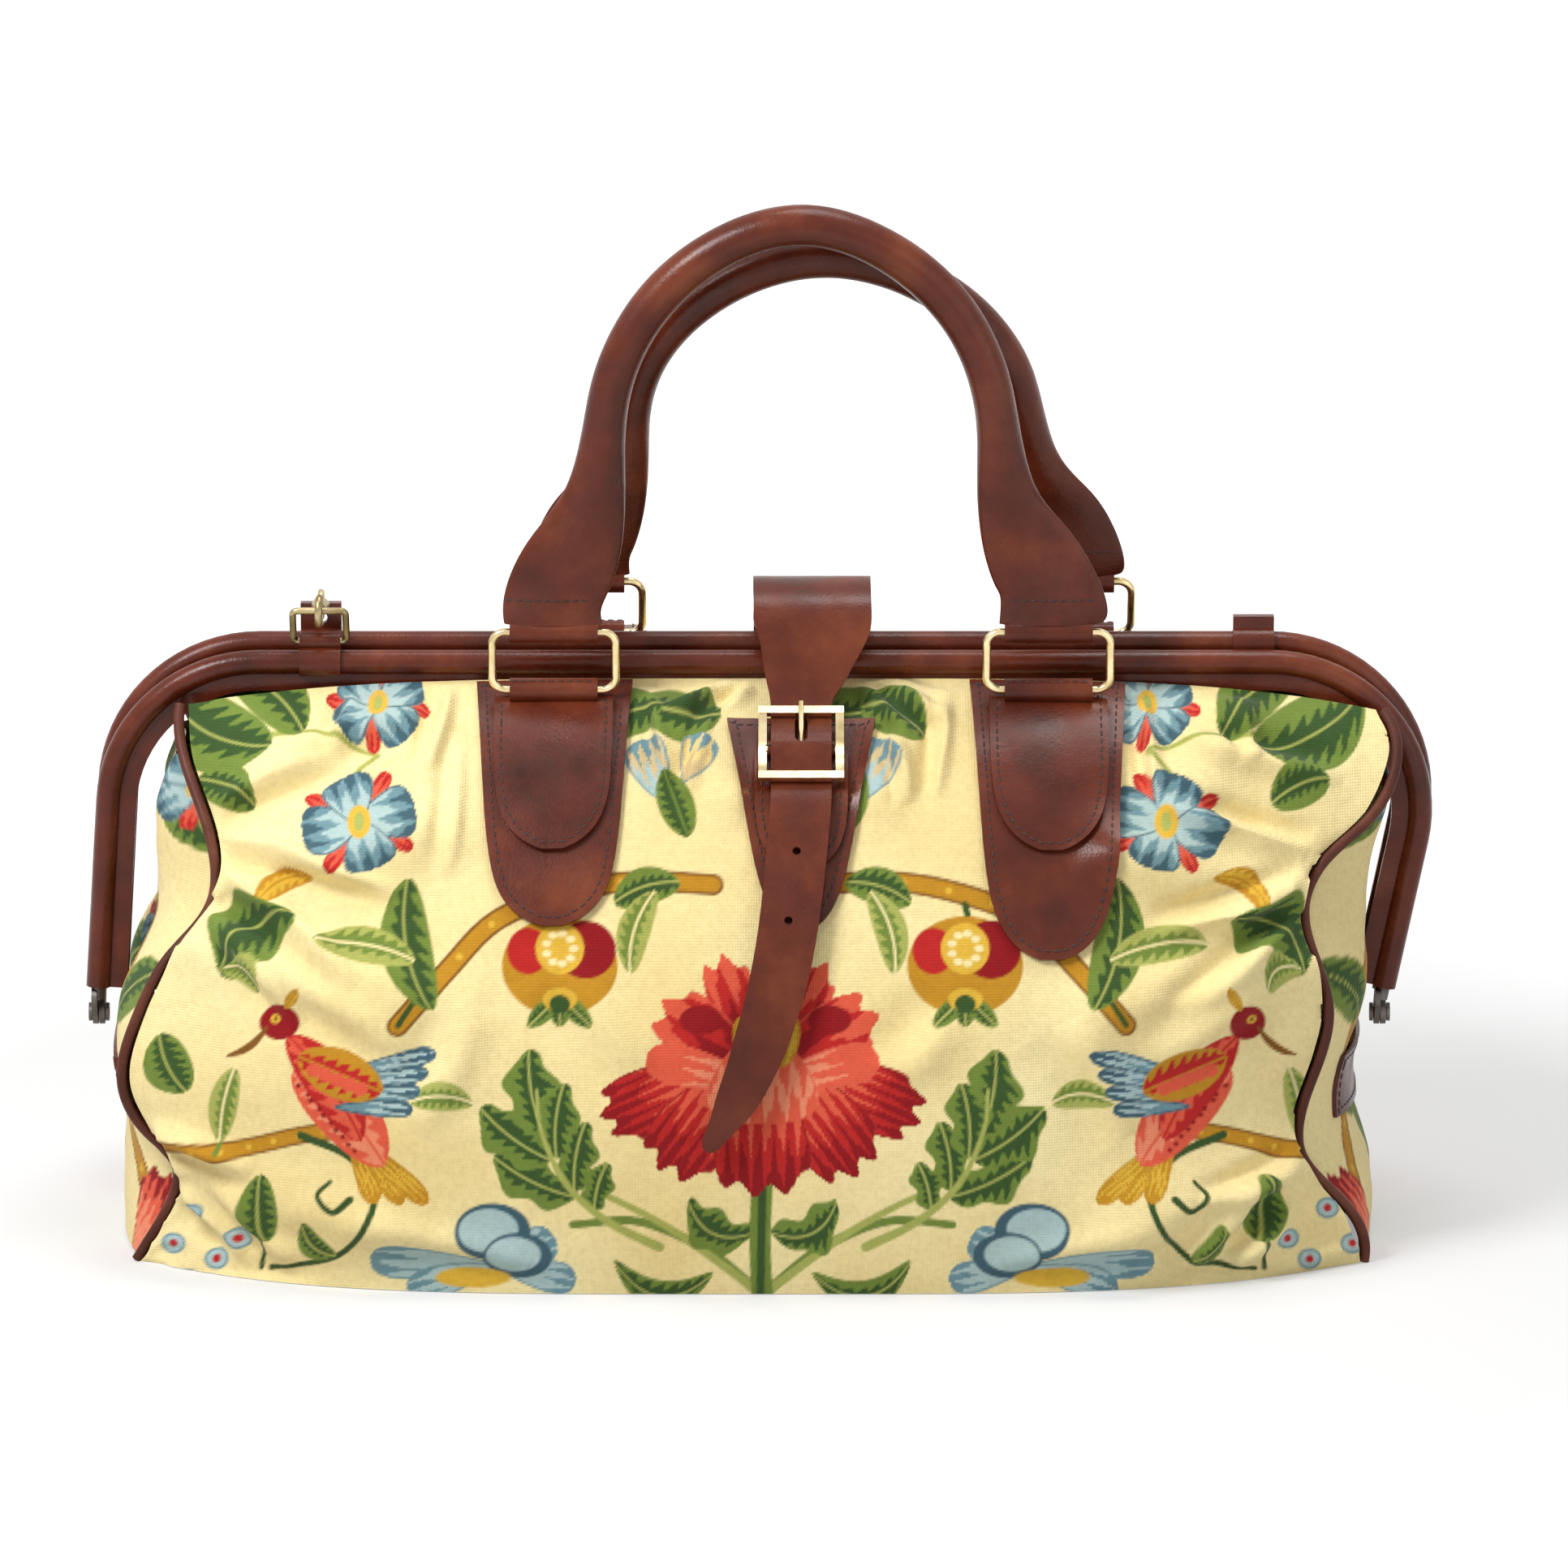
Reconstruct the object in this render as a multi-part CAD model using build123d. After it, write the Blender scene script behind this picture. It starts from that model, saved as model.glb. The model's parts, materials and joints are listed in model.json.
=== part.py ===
from build123d import *
import math
import os

# A carpet bag with a two-part hinged mouth frame, rolled leather handles on brass rings,
# and one closing strap. Millimetres, +Z up, front towards -Y, origin under the middle of the base.

# Cloth body
body_half_length = 235
body_half_depth = 107
panel_height = 206
cloth_thickness = 2
piping_radius = 2
clearance = 0.35
floor_gap = 0.3
probe_step = 1
surface_tolerance = 0.2
seam_allowance = 2.9
fold_width = 14
fold_height = 7
fold_flat_margin = 22
gusset_top_height = 188
gusset_leg_room = 27
gusset_leg_gap = 10
base_board_thickness = 3
base_inset = 2.2
base_board_inset = 4

# Mouth frame
frame_top_height = 212
rear_frame_rise = 4
frame_spacing = 12.4
bead_radius = 4.5
bow_radius = 2.5
skirt_depth = 6
skirt_thickness = 2.4
left_corner_reach = 237
right_corner_reach = 254
left_foot_reach = 245.5
right_foot_reach = 228
foot_height = 84
shoulder_radius = 56
hinge_drop = 7
tongue_width = 9
tongue_thickness = 2
rivet_radius = 1.8
rivet_head_radius = 3.4
rivet_head_height = 1.2

# Handles and their rings
fittings_centre = 14
handle_shift = 9
ring_half_spacing = 90
ring_width = 48
ring_height = 25
ring_wire_radius = 1.5
ring_corner_radius = 5
ring_drop = 17
loop_width = 32
loop_leather = 2
ring_play = 0.8
handle_half_span = 78
front_handle_rise = 113
rear_handle_rise = 95
handle_spring_height = 40
handle_flap_half_width = 18
handle_flap_half_thickness = 3.2
front_handle_lean = 3
rear_handle_lean = 16

# Leather patches
leather_thickness = 2
patch_start = 5
patch_gap = 0.5
patch_top_width = 57
patch_foot_width = 44
left_patch_length = 104
right_patch_length = 116
rear_patch_length = 108
chape_width = 43
chape_length = 64
band_height = 22
band_centre_height = 62

# Strap and buckle
strap_thickness = 2
strap_top_width = 43
strap_width = 22
strap_rise = 29
strap_rear_drop = 74
strap_tail = 132
strap_hole_width = 4.6
strap_hole_length = 13
punch_radius = 1.5
punch_spacing = 25
buckle_drop = 43
buckle_width = 31
buckle_height = 31
buckle_bar_width = 3
buckle_bar_thickness = 2.6
buckle_camber = 3.6
buckle_pin_radius = 1.2
chape_leather = 1.5
prong_radius = 1
prong_coil_radius = 2.4
prong_coil_length = 3
buckle_patch_top_width = 54
buckle_patch_foot_width = 26
buckle_patch_length = 84
buckle_patch_rise = 16
buckle_chape_width = 34
buckle_chape_length = 46

# Clip that ties the two frame halves together, and the loops on the frame
clip_reach = 162
clip_loop_width = 15
clip_leather = 1.4
loop_opening_height = 4.2
tab_height = 11
tab_thickness = 4
tab_hole_radius = 2.3
tab_hole_drop = 5.5
right_tab_reach = 180
right_tab_height = 6
dee_width = 22
dee_height = 17
dee_wire_radius = 1.3
dee_corner_radius = 2
dee_lean = 26
eye_radius = 4.6
eye_wire_radius = 1.2
swivel_radius = 3.4
swivel_end_radius = 2.2
swivel_length = 8
hook_bend_radius = 5.1
hook_wire_radius = 1.4
gate_radius = 0.9
gate_length = 6
gate_height = 4
gate_room_height = 7

# Outlines as shares of the body's half length, half depth and height, from the top down
left_seam_shares = [
    (0.906, 0.155, 0.962), (0.896, 0.285, 0.874), (0.852, 0.450, 0.745), (0.853, 0.520, 0.650),
    (0.918, 0.585, 0.560), (0.968, 0.625, 0.456), (0.992, 0.640, 0.340), (0.955, 0.625, 0.245),
    (0.910, 0.610, 0.180), (0.925, 0.590, 0.100), (0.975, 0.570, 0),
]
right_seam_shares = [
    (0.966, 0.155, 0.950), (0.985, 0.260, 0.890), (0.945, 0.375, 0.790), (0.868, 0.455, 0.715),
    (0.838, 0.515, 0.640), (0.856, 0.570, 0.550), (0.876, 0.605, 0.465), (0.862, 0.630, 0.380),
    (0.834, 0.630, 0.280), (0.834, 0.620, 0.210), (0.895, 0.600, 0.120), (0.936, 0.590, 0),
]
front_profile_shares = [
    (0.075, 1.000), (0.280, 0.958), (0.542, 0.838), (0.785, 0.655),
    (0.944, 0.447), (1.000, 0.243), (0.982, 0.073), (0.963, 0),
]
rear_profile_shares = [
    (0.075, 1.000), (0.330, 1.012), (0.580, 0.985), (0.790, 0.900),
    (0.930, 0.728), (1.000, 0.485), (1.000, 0.243), (0.982, 0.073), (0.963, 0),
]
left_gusset_shares = [
    (0.955, 0.920), (0.985, 0.830), (0.965, 0.670), (0.950, 0.600), (0.965, 0.520),
    (1.010, 0.440), (1.005, 0.300), (1.005, 0.150), (1.005, 0),
]
right_gusset_shares = [
    (1.000, 0.920), (1.015, 0.830), (0.995, 0.670), (0.970, 0.520), (0.960, 0.400),
    (0.925, 0.310), (0.945, 0.150), (0.955, 0),
]
panel_fullness = 4
foot_flat_share = 0.03
foot_curve = 2
patch_roundness = 9
chape_roundness = 5
gusset_fullness = 2.6

# Folds: start and end as shares of half length and of the drop down the panel, then width and height shares
front_fold_shares = [
    ((-0.86, 0.33), (-0.52, 0.30), 0.9, 0.9),
    ((-0.86, 0.43), (-0.50, 0.56), 1.0, 0.8),
    ((-0.88, 0.80), (-0.60, 0.90), 1.1, 1.0),
    ((0.84, 0.36), (0.55, 0.33), 0.9, 1.0),
    ((0.84, 0.47), (0.52, 0.57), 1.0, 0.8),
    ((0.82, 0.80), (0.56, 0.90), 1.1, 1.0),
    ((-0.15, 0.06), (-0.06, 0.24), 0.7, 0.6),
    ((0.27, 0.06), (0.18, 0.24), 0.7, 0.6),
    ((-0.58, 0.06), (-0.52, 0.26), 0.9, 0.6),
    ((0.72, 0.06), (0.66, 0.26), 0.9, 0.6),
]
rear_fold_shares = [
    ((-0.84, 0.42), (-0.50, 0.38), 1.1, 0.8),
    ((0.82, 0.42), (0.50, 0.38), 1.1, 0.8),
    ((-0.86, 0.80), (-0.58, 0.88), 1.1, 0.9),
    ((0.82, 0.80), (0.54, 0.88), 1.1, 0.9),
]
band_reach_share = 0.7
strap_centre = 18
strap_ease_share = 1.4
strap_rear_shares = (1, 0.85, 0.7, 0.55, 0.4)
strap_crest_shares = ((0.30, 0.28), (0.20, 0.66), (0.06, 0.98), (-0.08, 0.95), (-0.20, 0.62))
strap_tail_shares = [
    (0.14, -0.04, 1.00), (0.34, -0.16, 0.98), (0.54, -0.36, 0.95), (0.72, -0.68, 0.88),
    (0.86, -1.04, 0.70), (0.95, -1.36, 0.42), (1.00, -1.56, 0.14),
]
handle_section_shares = [
    (0, 1.00, 1.00), (0.050, 0.98, 1.00), (0.100, 0.80, 1.25),
    (0.150, 0.56, 1.80), (0.200, 0.44, 2.20), (0.250, 0.42, 2.34),
]

sides = {"left": -1, "right": 1}
faces = {"front": -1, "rear": 1}


def save(node, shape):
    """Write one piece of the bag as its own file."""
    export_step(shape, f"parts/{node}.step")


def body_point(x_share, depth_share, height_share, side, face):
    """A point of the body from shares of its half length, half depth and height."""
    return Vector(
        side * x_share * body_half_length,
        face * depth_share * body_half_depth,
        floor_gap + height_share * panel_height,
    )


def seam_curve(side_name, face):
    """The seam where a gusset meets the front or rear panel, from the top down."""
    shares = left_seam_shares if side_name == "left" else right_seam_shares
    return Spline([body_point(*share, sides[side_name], face) for share in shares])


def profile_curve(shares, face):
    """The middle of a panel, from the frame down to the base."""
    return Spline([body_point(0, depth, height, face, face) for depth, height in shares])


def gusset_curve(side_name):
    """How far out a gusset reaches, from its top down."""
    shares = left_gusset_shares if side_name == "left" else right_gusset_shares
    return Spline([body_point(reach, 0, height, sides[side_name], 0) for reach, height in shares])


class Panel:
    """The front or rear cloth panel, as a surface over length and drop down the cloth."""

    def __init__(self, face, profile_shares, fold_shares):
        self.face = face
        self.middle = profile_curve(profile_shares, face)
        self.seams = {name: seam_curve(name, face) for name in sides}
        self.fold_shares = fold_shares

    def plain_point(self, x, drop):
        share = min(max(drop / self.middle.length, 0), 1)
        left = self.seams["left"].position_at(share)
        right = self.seams["right"].position_at(share)
        middle = self.middle.position_at(share)
        across = (2 * x - left.X - right.X) / (right.X - left.X)
        pull = min(abs(across), 1) ** panel_fullness
        seam = left if across < 0 else right
        return Vector(x, middle.Y + (seam.Y - middle.Y) * pull, middle.Z + (seam.Z - middle.Z) * pull)

    def normal(self, x, drop):
        low = min(max(drop, probe_step), self.middle.length - probe_step)
        along = self.plain_point(x, low + probe_step) - self.plain_point(x, low - probe_step)
        across = self.plain_point(x + probe_step, low) - self.plain_point(x - probe_step, low)
        return along.cross(across).normalized() * -self.face

    def fold(self, x, drop):
        here = Vector(x, drop, 0)
        height = 0
        for start_share, end_share, width_share, height_share in self.fold_shares:
            start = Vector(start_share[0] * body_half_length, start_share[1] * self.middle.length, 0)
            end = Vector(end_share[0] * body_half_length, end_share[1] * self.middle.length, 0)
            run = end - start
            share = min(max((here - start).dot(run) / run.dot(run), 0), 1)
            distance = (here - start - run * share).length
            height += height_share * fold_height * math.exp(-(distance / (width_share * fold_width)) ** 2)
        edge = min(max(min(drop, self.middle.length - drop) / fold_flat_margin, 0), 1)
        return height * math.sin(edge * math.pi / 2) ** 2

    def point(self, x, drop, lift=0):
        rise = lift + self.fold(x, drop)
        return self.plain_point(x, drop) + self.normal(x, drop) * rise

    def inset(self, share):
        left = self.seams["left"].position_at(share).X + seam_allowance
        right = self.seams["right"].position_at(share).X - seam_allowance
        return left, right


def spread(count):
    """Evenly spaced shares from 0 to 1."""
    return [step / (count - 1) for step in range(count)]


def sheet(outer_rows, inner_rows):
    """A solid sheet between two grids of points, with ruled edges."""
    outer = Face.make_surface_from_array_of_points(outer_rows, tol=surface_tolerance)
    inner = Face.make_surface_from_array_of_points(inner_rows, tol=surface_tolerance)
    walls = [outer, inner]
    for edge in outer.edges():
        facing = min(inner.edges(), key=lambda other: (other.center() - edge.center()).length)
        walls.append(Face.make_surface_from_curves(edge, facing))
    return Solid(Shell(walls))


def panel_rows(panel, lift):
    """A grid of points over a panel, between its two side seams."""
    rows = []
    for share in spread(29):
        left, right = panel.inset(share)
        drop = share * panel.middle.length
        rows.append([panel.point(left + (right - left) * across, drop, lift) for across in spread(45)])
    return rows


def cloth_panel(panel):
    """The cloth between the two side seams."""
    return sheet(panel_rows(panel, 0), panel_rows(panel, -cloth_thickness))


def tapered_patch(panel, centre, start, length, top_width, foot_width, lift, thickness, roundness):
    """A stitched leather patch on a panel, tapering to a rounded or pointed foot."""
    grids = []
    for height in (lift + thickness, lift):
        rows = []
        for share in spread(17):
            taper = top_width + (foot_width - top_width) * share
            width = taper * max(1 - share**roundness, foot_flat_share) ** (1 / foot_curve)
            drop = start + length * share
            rows.append([panel.point(centre + width * (across - 1 / 2), drop, height) for across in spread(9)])
        grids.append(rows)
    return sheet(*grids)


def frame_corner(side_name):
    """The reach of the frame's corner, before rounding, and of its foot."""
    return (left_corner_reach, left_foot_reach) if side_name == "left" else (right_corner_reach, right_foot_reach)


def leg_reach(side_name, height):
    """The reach of the middle of a frame leg at a height, following the shoulder's curve."""
    corner, foot = frame_corner(side_name)
    share = (height - foot_height) / (frame_top_height - foot_height)
    straight = foot + (corner - foot) * share
    over = height - (frame_top_height - shoulder_radius)
    if over <= 0:
        return straight
    return straight - shoulder_radius + math.sqrt(max(shoulder_radius**2 - over**2, 0))


def gusset_rows(side_name, front, depth):
    """A grid of points over a gusset, set in by a depth of cloth."""
    side = sides[side_name]
    reach = gusset_curve(side_name)
    top_share = 1 - gusset_top_height / panel_height
    rows = []
    for step in spread(29):
        share = top_share + (1 - top_share) * step
        seam = front.seams[side_name].position_at(share)
        half_depth = abs(seam.Y) - seam_allowance
        wide = abs(reach.position_at(share).X)
        limit = leg_reach(side_name, seam.Z) - bead_radius - skirt_depth - gusset_leg_gap
        low = min(max((seam.Z - foot_height + 3 * hinge_drop) / hinge_drop, 0), 1)
        row = []
        for across in spread(25):
            y = half_depth * (2 * across - 1)
            bulge = 1 - abs(2 * across - 1) ** gusset_fullness
            x = abs(seam.X) + (wide - abs(seam.X)) * bulge
            near = math.exp(-((y / gusset_leg_room) ** 4))
            x -= near * low * max(x - limit, 0)
            row.append(Vector(side * (x - depth), y, seam.Z))
        rows.append(row)
    return rows


def gusset(side_name, front):
    """The folded end of the bag, between the two side seams and inside the frame's legs."""
    return sheet(gusset_rows(side_name, front, 0), gusset_rows(side_name, front, cloth_thickness))


def piping(side_name, face):
    """The leather piping sewn into a side seam."""
    seam = seam_curve(side_name, face)
    section = Plane(origin=seam.position_at(0), z_dir=seam.tangent_at(0))
    return sweep(section * Circle(piping_radius), path=seam)


def base_outline(panel, inset):
    """The front or rear edge of the base, from left to right."""
    drop = panel.middle.length
    left = panel.seams["left"].position_at(1).X + inset
    right = panel.seams["right"].position_at(1).X - inset
    points = []
    for across in spread(17):
        point = panel.plain_point(left + (right - left) * across, drop)
        points.append((point.X, point.Y - panel.face * inset, 0))
    return points


def base_plate(front, rear, inset, height, thickness):
    """A flat sheet inside the foot of the cloth walls."""
    front_points = base_outline(front, inset)
    rear_points = base_outline(rear, inset)
    outline = [
        Spline(front_points),
        Line(front_points[-1], rear_points[-1]),
        Spline(rear_points),
        Line(rear_points[0], front_points[0]),
    ]
    face = make_face(Wire(outline).edges())
    return Pos(0, 0, height) * extrude(face, thickness, dir=(0, 0, 1))


def frame_path(face, trim):
    """The line of one half of the mouth frame, from foot to foot, trimmed at its feet."""
    y = face * frame_spacing / 2
    top = frame_top_height + (rear_frame_rise if face > 0 else 0)
    corners = {name: Vector(sides[name] * frame_corner(name)[0], y, top) for name in sides}
    feet = {name: Vector(sides[name] * frame_corner(name)[1], y, foot_height) for name in sides}
    for name in sides:
        feet[name] += (corners[name] - feet[name]).normalized() * trim
    return FilletPolyline(
        feet["left"], corners["left"], corners["right"], feet["right"], radius=shoulder_radius
    )


def frame_section(path):
    """The plane across the start of the frame, with its own X towards the inside of the bag."""
    return Plane(origin=path @ 0, x_dir=(1, 0, 0), z_dir=path % 0)


def frame_cover(face):
    """The leather drawn round the frame: a round bead with a stitched skirt on its inside."""
    path = frame_path(face, tongue_width / 2 + clearance)
    skirt_middle = (bead_radius + bow_radius + skirt_depth) / 2
    profile = Circle(bead_radius) + Pos(skirt_middle, 0) * Rectangle(
        bead_radius + skirt_depth - bow_radius, skirt_thickness
    )
    profile -= Circle(bow_radius)
    return sweep(frame_section(path) * profile, path=path)


def tongue(face, side_name):
    """The flattened end of a frame bow, reaching in to the hinge rivet."""
    side = sides[side_name]
    foot = frame_corner(side_name)[1]
    y = face * frame_spacing / 2
    plane = Plane(origin=(side * foot, 0, foot_height - hinge_drop), x_dir=(0, 1, 0), z_dir=(1, 0, 0))
    run = [(y, hinge_drop), (0, 0)]
    plate = make_hull(
        (Circle(tongue_width / 2).edge(), (Pos(*run[0]) * Circle(tongue_width / 2)).edge())
    )
    shift = face * (tongue_thickness + clearance) / 2
    solid = extrude(plane * plate, tongue_thickness / 2, both=True)
    hole = plane * Circle(rivet_radius + clearance / 3)
    solid -= extrude(hole, tongue_thickness, both=True)
    return Pos(shift, 0, 0) * solid


def frame_bow(face):
    """The steel rod inside one half of the frame, with a hinge tongue at each foot."""
    path = frame_path(face, 0)
    bow = sweep(frame_section(path) * Circle(bow_radius), path=path)
    for side_name in sides:
        bow += tongue(face, side_name)
    return bow


def hinge_rivet(side_name):
    """The rivet through both tongues at one foot of the frame."""
    side = sides[side_name]
    foot = frame_corner(side_name)[1]
    grip = 2 * tongue_thickness + 3 * clearance
    centre = Pos(side * foot, 0, foot_height - hinge_drop) * Rot(0, 90, 0)
    shank = Cylinder(rivet_radius, grip)
    for end in (-1, 1):
        shank += Pos(0, 0, end * (grip + rivet_head_height) / 2) * Cylinder(rivet_head_radius, rivet_head_height)
    return centre * shank


def patch_lift(layers):
    """The height over the cloth of a leather layer, counted from 0."""
    return patch_gap + layers * (leather_thickness + patch_gap)


def ring_pivot(panel, centre):
    """The bar of a ring inside its chape's loop."""
    lift = patch_lift(1) + loop_radius()
    return panel.point(centre, ring_drop, lift)


def loop_radius():
    """The outside of a leather loop round a ring's wire."""
    return ring_wire_radius + ring_play + loop_leather


def leather_loop(centre):
    """A leather loop along X, open round the ring's wire."""
    loop = Cylinder(loop_radius(), loop_width) - Cylinder(ring_wire_radius + ring_play, loop_width)
    return Pos(*centre) * Rot(0, 90, 0) * loop


def chape(panel, centre):
    """The pointed tab that holds a ring, with its loop."""
    pivot = ring_pivot(panel, centre)
    tab = tapered_patch(
        panel, centre, ring_drop, chape_length, chape_width, chape_width,
        patch_lift(1), leather_thickness, chape_roundness,
    )
    hole = Pos(*pivot) * Rot(0, 90, 0) * Cylinder(ring_wire_radius + ring_play, chape_width)
    neck = tab + leather_loop(pivot)
    return neck - hole


def leaning_plane(origin, lean):
    """A plane with X along the bag and Y upwards, leaning to the front by some degrees."""
    up = Vector(0, -math.sin(math.radians(lean)), math.cos(math.radians(lean)))
    return Plane(origin=origin, x_dir=(1, 0, 0), z_dir=Vector(1, 0, 0).cross(up))


def handle_plane(panel, centre, lean):
    """The plane of a handle, from the rings' lower bars."""
    left = ring_pivot(panel, centre - ring_half_spacing)
    right = ring_pivot(panel, centre + ring_half_spacing)
    return leaning_plane((left + right) / 2, lean)


def wire_ring(plane, x, width, height, wire_radius, corner_radius):
    """A closed ring of round wire whose lower bar lies on a plane's X axis."""
    bar_length = width - 2 * wire_radius
    rise = height - 2 * wire_radius
    path = plane * Pos(x, rise / 2) * RectangleRounded(bar_length, rise, corner_radius)
    wire = path.wire()
    section = Plane(origin=wire @ 0, z_dir=wire % 0)
    return sweep(section * Circle(wire_radius), path=wire)


def ring(plane, side):
    """One brass ring, standing up from its chape."""
    x = side * ring_half_spacing
    return wire_ring(plane, x, ring_width, ring_height, ring_wire_radius, ring_corner_radius)


def handle(plane, handle_rise):
    """A rolled handle, flattening into flaps that loop round the rings."""
    bar = ring_height - 2 * ring_wire_radius
    root = bar + ring_wire_radius + ring_play + loop_leather / 2
    arch = []
    for angle in range(180, -1, -30):
        turn = math.radians(angle)
        arch.append((handle_half_span * math.cos(turn), bar + handle_spring_height + handle_rise * math.sin(turn)))
    points = [(-ring_half_spacing, root)] + arch + [(ring_half_spacing, root)]
    centreline = Spline(points, tangents=[(0, 1), (0, -1)])
    stations = list(handle_section_shares)
    stations += [(share, *handle_section_shares[-1][1:]) for share in (0.32, 0.41, 0.50, 0.59, 0.68)]
    stations += [(1 - share, width, depth) for share, width, depth in reversed(handle_section_shares)]
    sections = []
    for share, width, depth in stations:
        along = centreline.tangent_at(share)
        station = Plane(origin=centreline.position_at(share), x_dir=(along.Y, -along.X, 0), z_dir=along)
        outline = Ellipse(width * handle_flap_half_width, depth * handle_flap_half_thickness)
        sections.append(plane * station * outline)
    solid = loft(sections)
    hole = Rot(0, 90, 0) * Cylinder(ring_wire_radius + ring_play, ring_width)
    for side in (-1, 1):
        place = plane.location * Pos(side * ring_half_spacing, bar, 0)
        loop = Rot(0, 90, 0) * Cylinder(loop_radius(), loop_width)
        solid += place * loop
        solid -= place * hole
    return solid


def buckle_plane(front):
    """The plane of the buckle on the front panel: X along the bag, Y up the cloth, Z outwards."""
    centre = front.point(fittings_centre, buckle_drop)
    return Plane(origin=centre, x_dir=(1, 0, 0), z_dir=front.normal(fittings_centre, buckle_drop))


def buckle_pin_lift():
    """The height of the buckle's middle bar over the cloth."""
    return patch_lift(1) + chape_leather + clearance + buckle_pin_radius


def buckle_end_lift():
    """The height of the buckle's end bars over the cloth."""
    return buckle_pin_lift() + buckle_camber


def buckle_frame(plane):
    """The square brass buckle, cambered, with a middle bar."""
    end = (buckle_height - buckle_bar_width) / 2
    half = buckle_bar_thickness / 2
    low = buckle_pin_lift()
    high = buckle_end_lift()
    lower = ThreePointArc((-end, high - half), (0, low - half), (end, high - half))
    upper = ThreePointArc((-end, high + half), (0, low + half), (end, high + half))
    ends = [Line(lower @ 0, upper @ 0), Line(lower @ 1, upper @ 1)]
    side_face = make_face([lower, upper] + ends)
    cross = plane * Plane(origin=(0, 0, 0), x_dir=(0, 1, 0), z_dir=(1, 0, 0))
    reach = (buckle_width - buckle_bar_width) / 2
    solid = None
    for side in (-1, 1):
        bar = extrude(cross * Pos(0, 0, side * reach) * side_face, buckle_bar_width / 2, both=True)
        solid = bar if solid is None else solid + bar
        end_bar = Box(buckle_width, buckle_bar_width, buckle_bar_thickness)
        solid += plane * Pos(0, side * end, high) * end_bar
    return solid + plane * Pos(0, 0, low) * Rot(0, 90, 0) * Cylinder(buckle_pin_radius, 2 * reach)


def buckle_prong(plane):
    """The prong, coiled round the middle bar, through the strap and down on the top bar."""
    low = buckle_pin_lift()
    end = (buckle_height - buckle_bar_width) / 2
    rest = buckle_end_lift() + buckle_bar_thickness / 2 + prong_radius + 2 * clearance
    coil = Cylinder(prong_coil_radius, prong_coil_length)
    coil -= Cylinder(buckle_pin_radius + clearance / 3, prong_coil_length)
    start = Vector(0, (buckle_pin_radius + prong_coil_radius) / 2, low + prong_radius)
    contact = Vector(0, end - buckle_bar_width / 2, rest)
    run = (contact - start) * ((end + buckle_bar_width / 2 - start.Y) / (contact.Y - start.Y))
    shaft = Plane(origin=start, z_dir=run, x_dir=(1, 0, 0)) * Circle(prong_radius)
    return plane * (Pos(0, 0, low) * Rot(0, 90, 0) * coil + extrude(shaft, run.length, dir=run.normalized()))


def buckle_chape(front, plane):
    """The rounded leather tab that holds the buckle, split round the prong."""
    centre = fittings_centre
    low = buckle_pin_lift()
    tab = tapered_patch(
        front, centre, buckle_drop, buckle_chape_length, buckle_chape_width, buckle_chape_width,
        patch_lift(1), chape_leather, chape_roundness,
    )
    outer = buckle_pin_radius + clearance + chape_leather
    inner_width = buckle_width - 2 * buckle_bar_width - 2 * clearance
    place = plane.location * Pos(0, 0, low) * Rot(0, 90, 0)
    solid = tab + place * Cylinder(outer, inner_width)
    solid -= place * Cylinder(buckle_pin_radius + clearance, inner_width)
    slot_width = prong_coil_length + 2 * clearance
    slot = Pos(0, 0, low) * Box(slot_width, 2 * outer + clearance, 2 * prong_coil_radius + clearance)
    return solid - plane * slot


def strap_stations(front, rear, plane):
    """Points down the middle of the strap, with the strap's width at each."""
    half = strap_thickness / 2
    end = (buckle_height - buckle_bar_width) / 2
    under = buckle_end_lift() - buckle_bar_thickness / 2 - 3 * clearance - half
    over = buckle_pin_lift() + buckle_pin_radius + 2 * clearance + chape_leather + half
    stations = []
    for share in strap_rear_shares:
        point = rear.point(strap_centre, strap_rear_drop * share, 4 * clearance + half)
        stations.append((point, strap_top_width))
    for depth_share, rise_share in strap_crest_shares:
        height = frame_top_height + strap_rise * rise_share
        stations.append((Vector(strap_centre, depth_share * body_half_depth, height), strap_top_width))
    for up_share, lift in ((strap_ease_share, under), (1, under), (0, over), (-1, under), (-strap_ease_share, under)):
        stations.append((plane.from_local_coords(Vector(0, up_share * end, lift)), strap_width))
    for share, sway_share, width_share in strap_tail_shares:
        drop = buckle_drop + end + strap_tail * share
        lift = patch_lift(2) + chape_leather + half - share * leather_thickness
        point = front.point(fittings_centre + sway_share * strap_width, drop, lift)
        stations.append((point, strap_width * width_share))
    return stations


def strap(front, rear, plane):
    """The closing strap, from the rear panel over the frame, through the buckle, to its tip."""
    stations = strap_stations(front, rear, plane)
    line = Spline([point for point, width in stations])
    shares = [line.param_at_point(point) for point, width in stations]
    sections = []
    for step in spread(47):
        along = line.tangent_at(step)
        out = Vector(1, 0, 0).cross(along).normalized()
        width = width_at(step, shares, [width for point, width in stations])
        section = Plane(origin=line.position_at(step), x_dir=along.cross(out), z_dir=along)
        sections.append(section * Rectangle(width, strap_thickness))
    solid = loft(sections)
    slot = SlotOverall(strap_hole_length, strap_hole_width, rotation=90)
    solid -= extrude(plane * Pos(0, strap_hole_length / 2, 0) * slot, buckle_end_lift() * 2)
    for step in (1, 2):
        drop = buckle_drop + buckle_height / 2 + punch_spacing * step
        sway = strap_sway(drop)
        centre = front.point(sway, drop)
        punch = Plane(origin=centre, z_dir=front.normal(sway, drop)) * Circle(punch_radius)
        solid -= extrude(punch, buckle_end_lift() * 2)
    return solid


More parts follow.
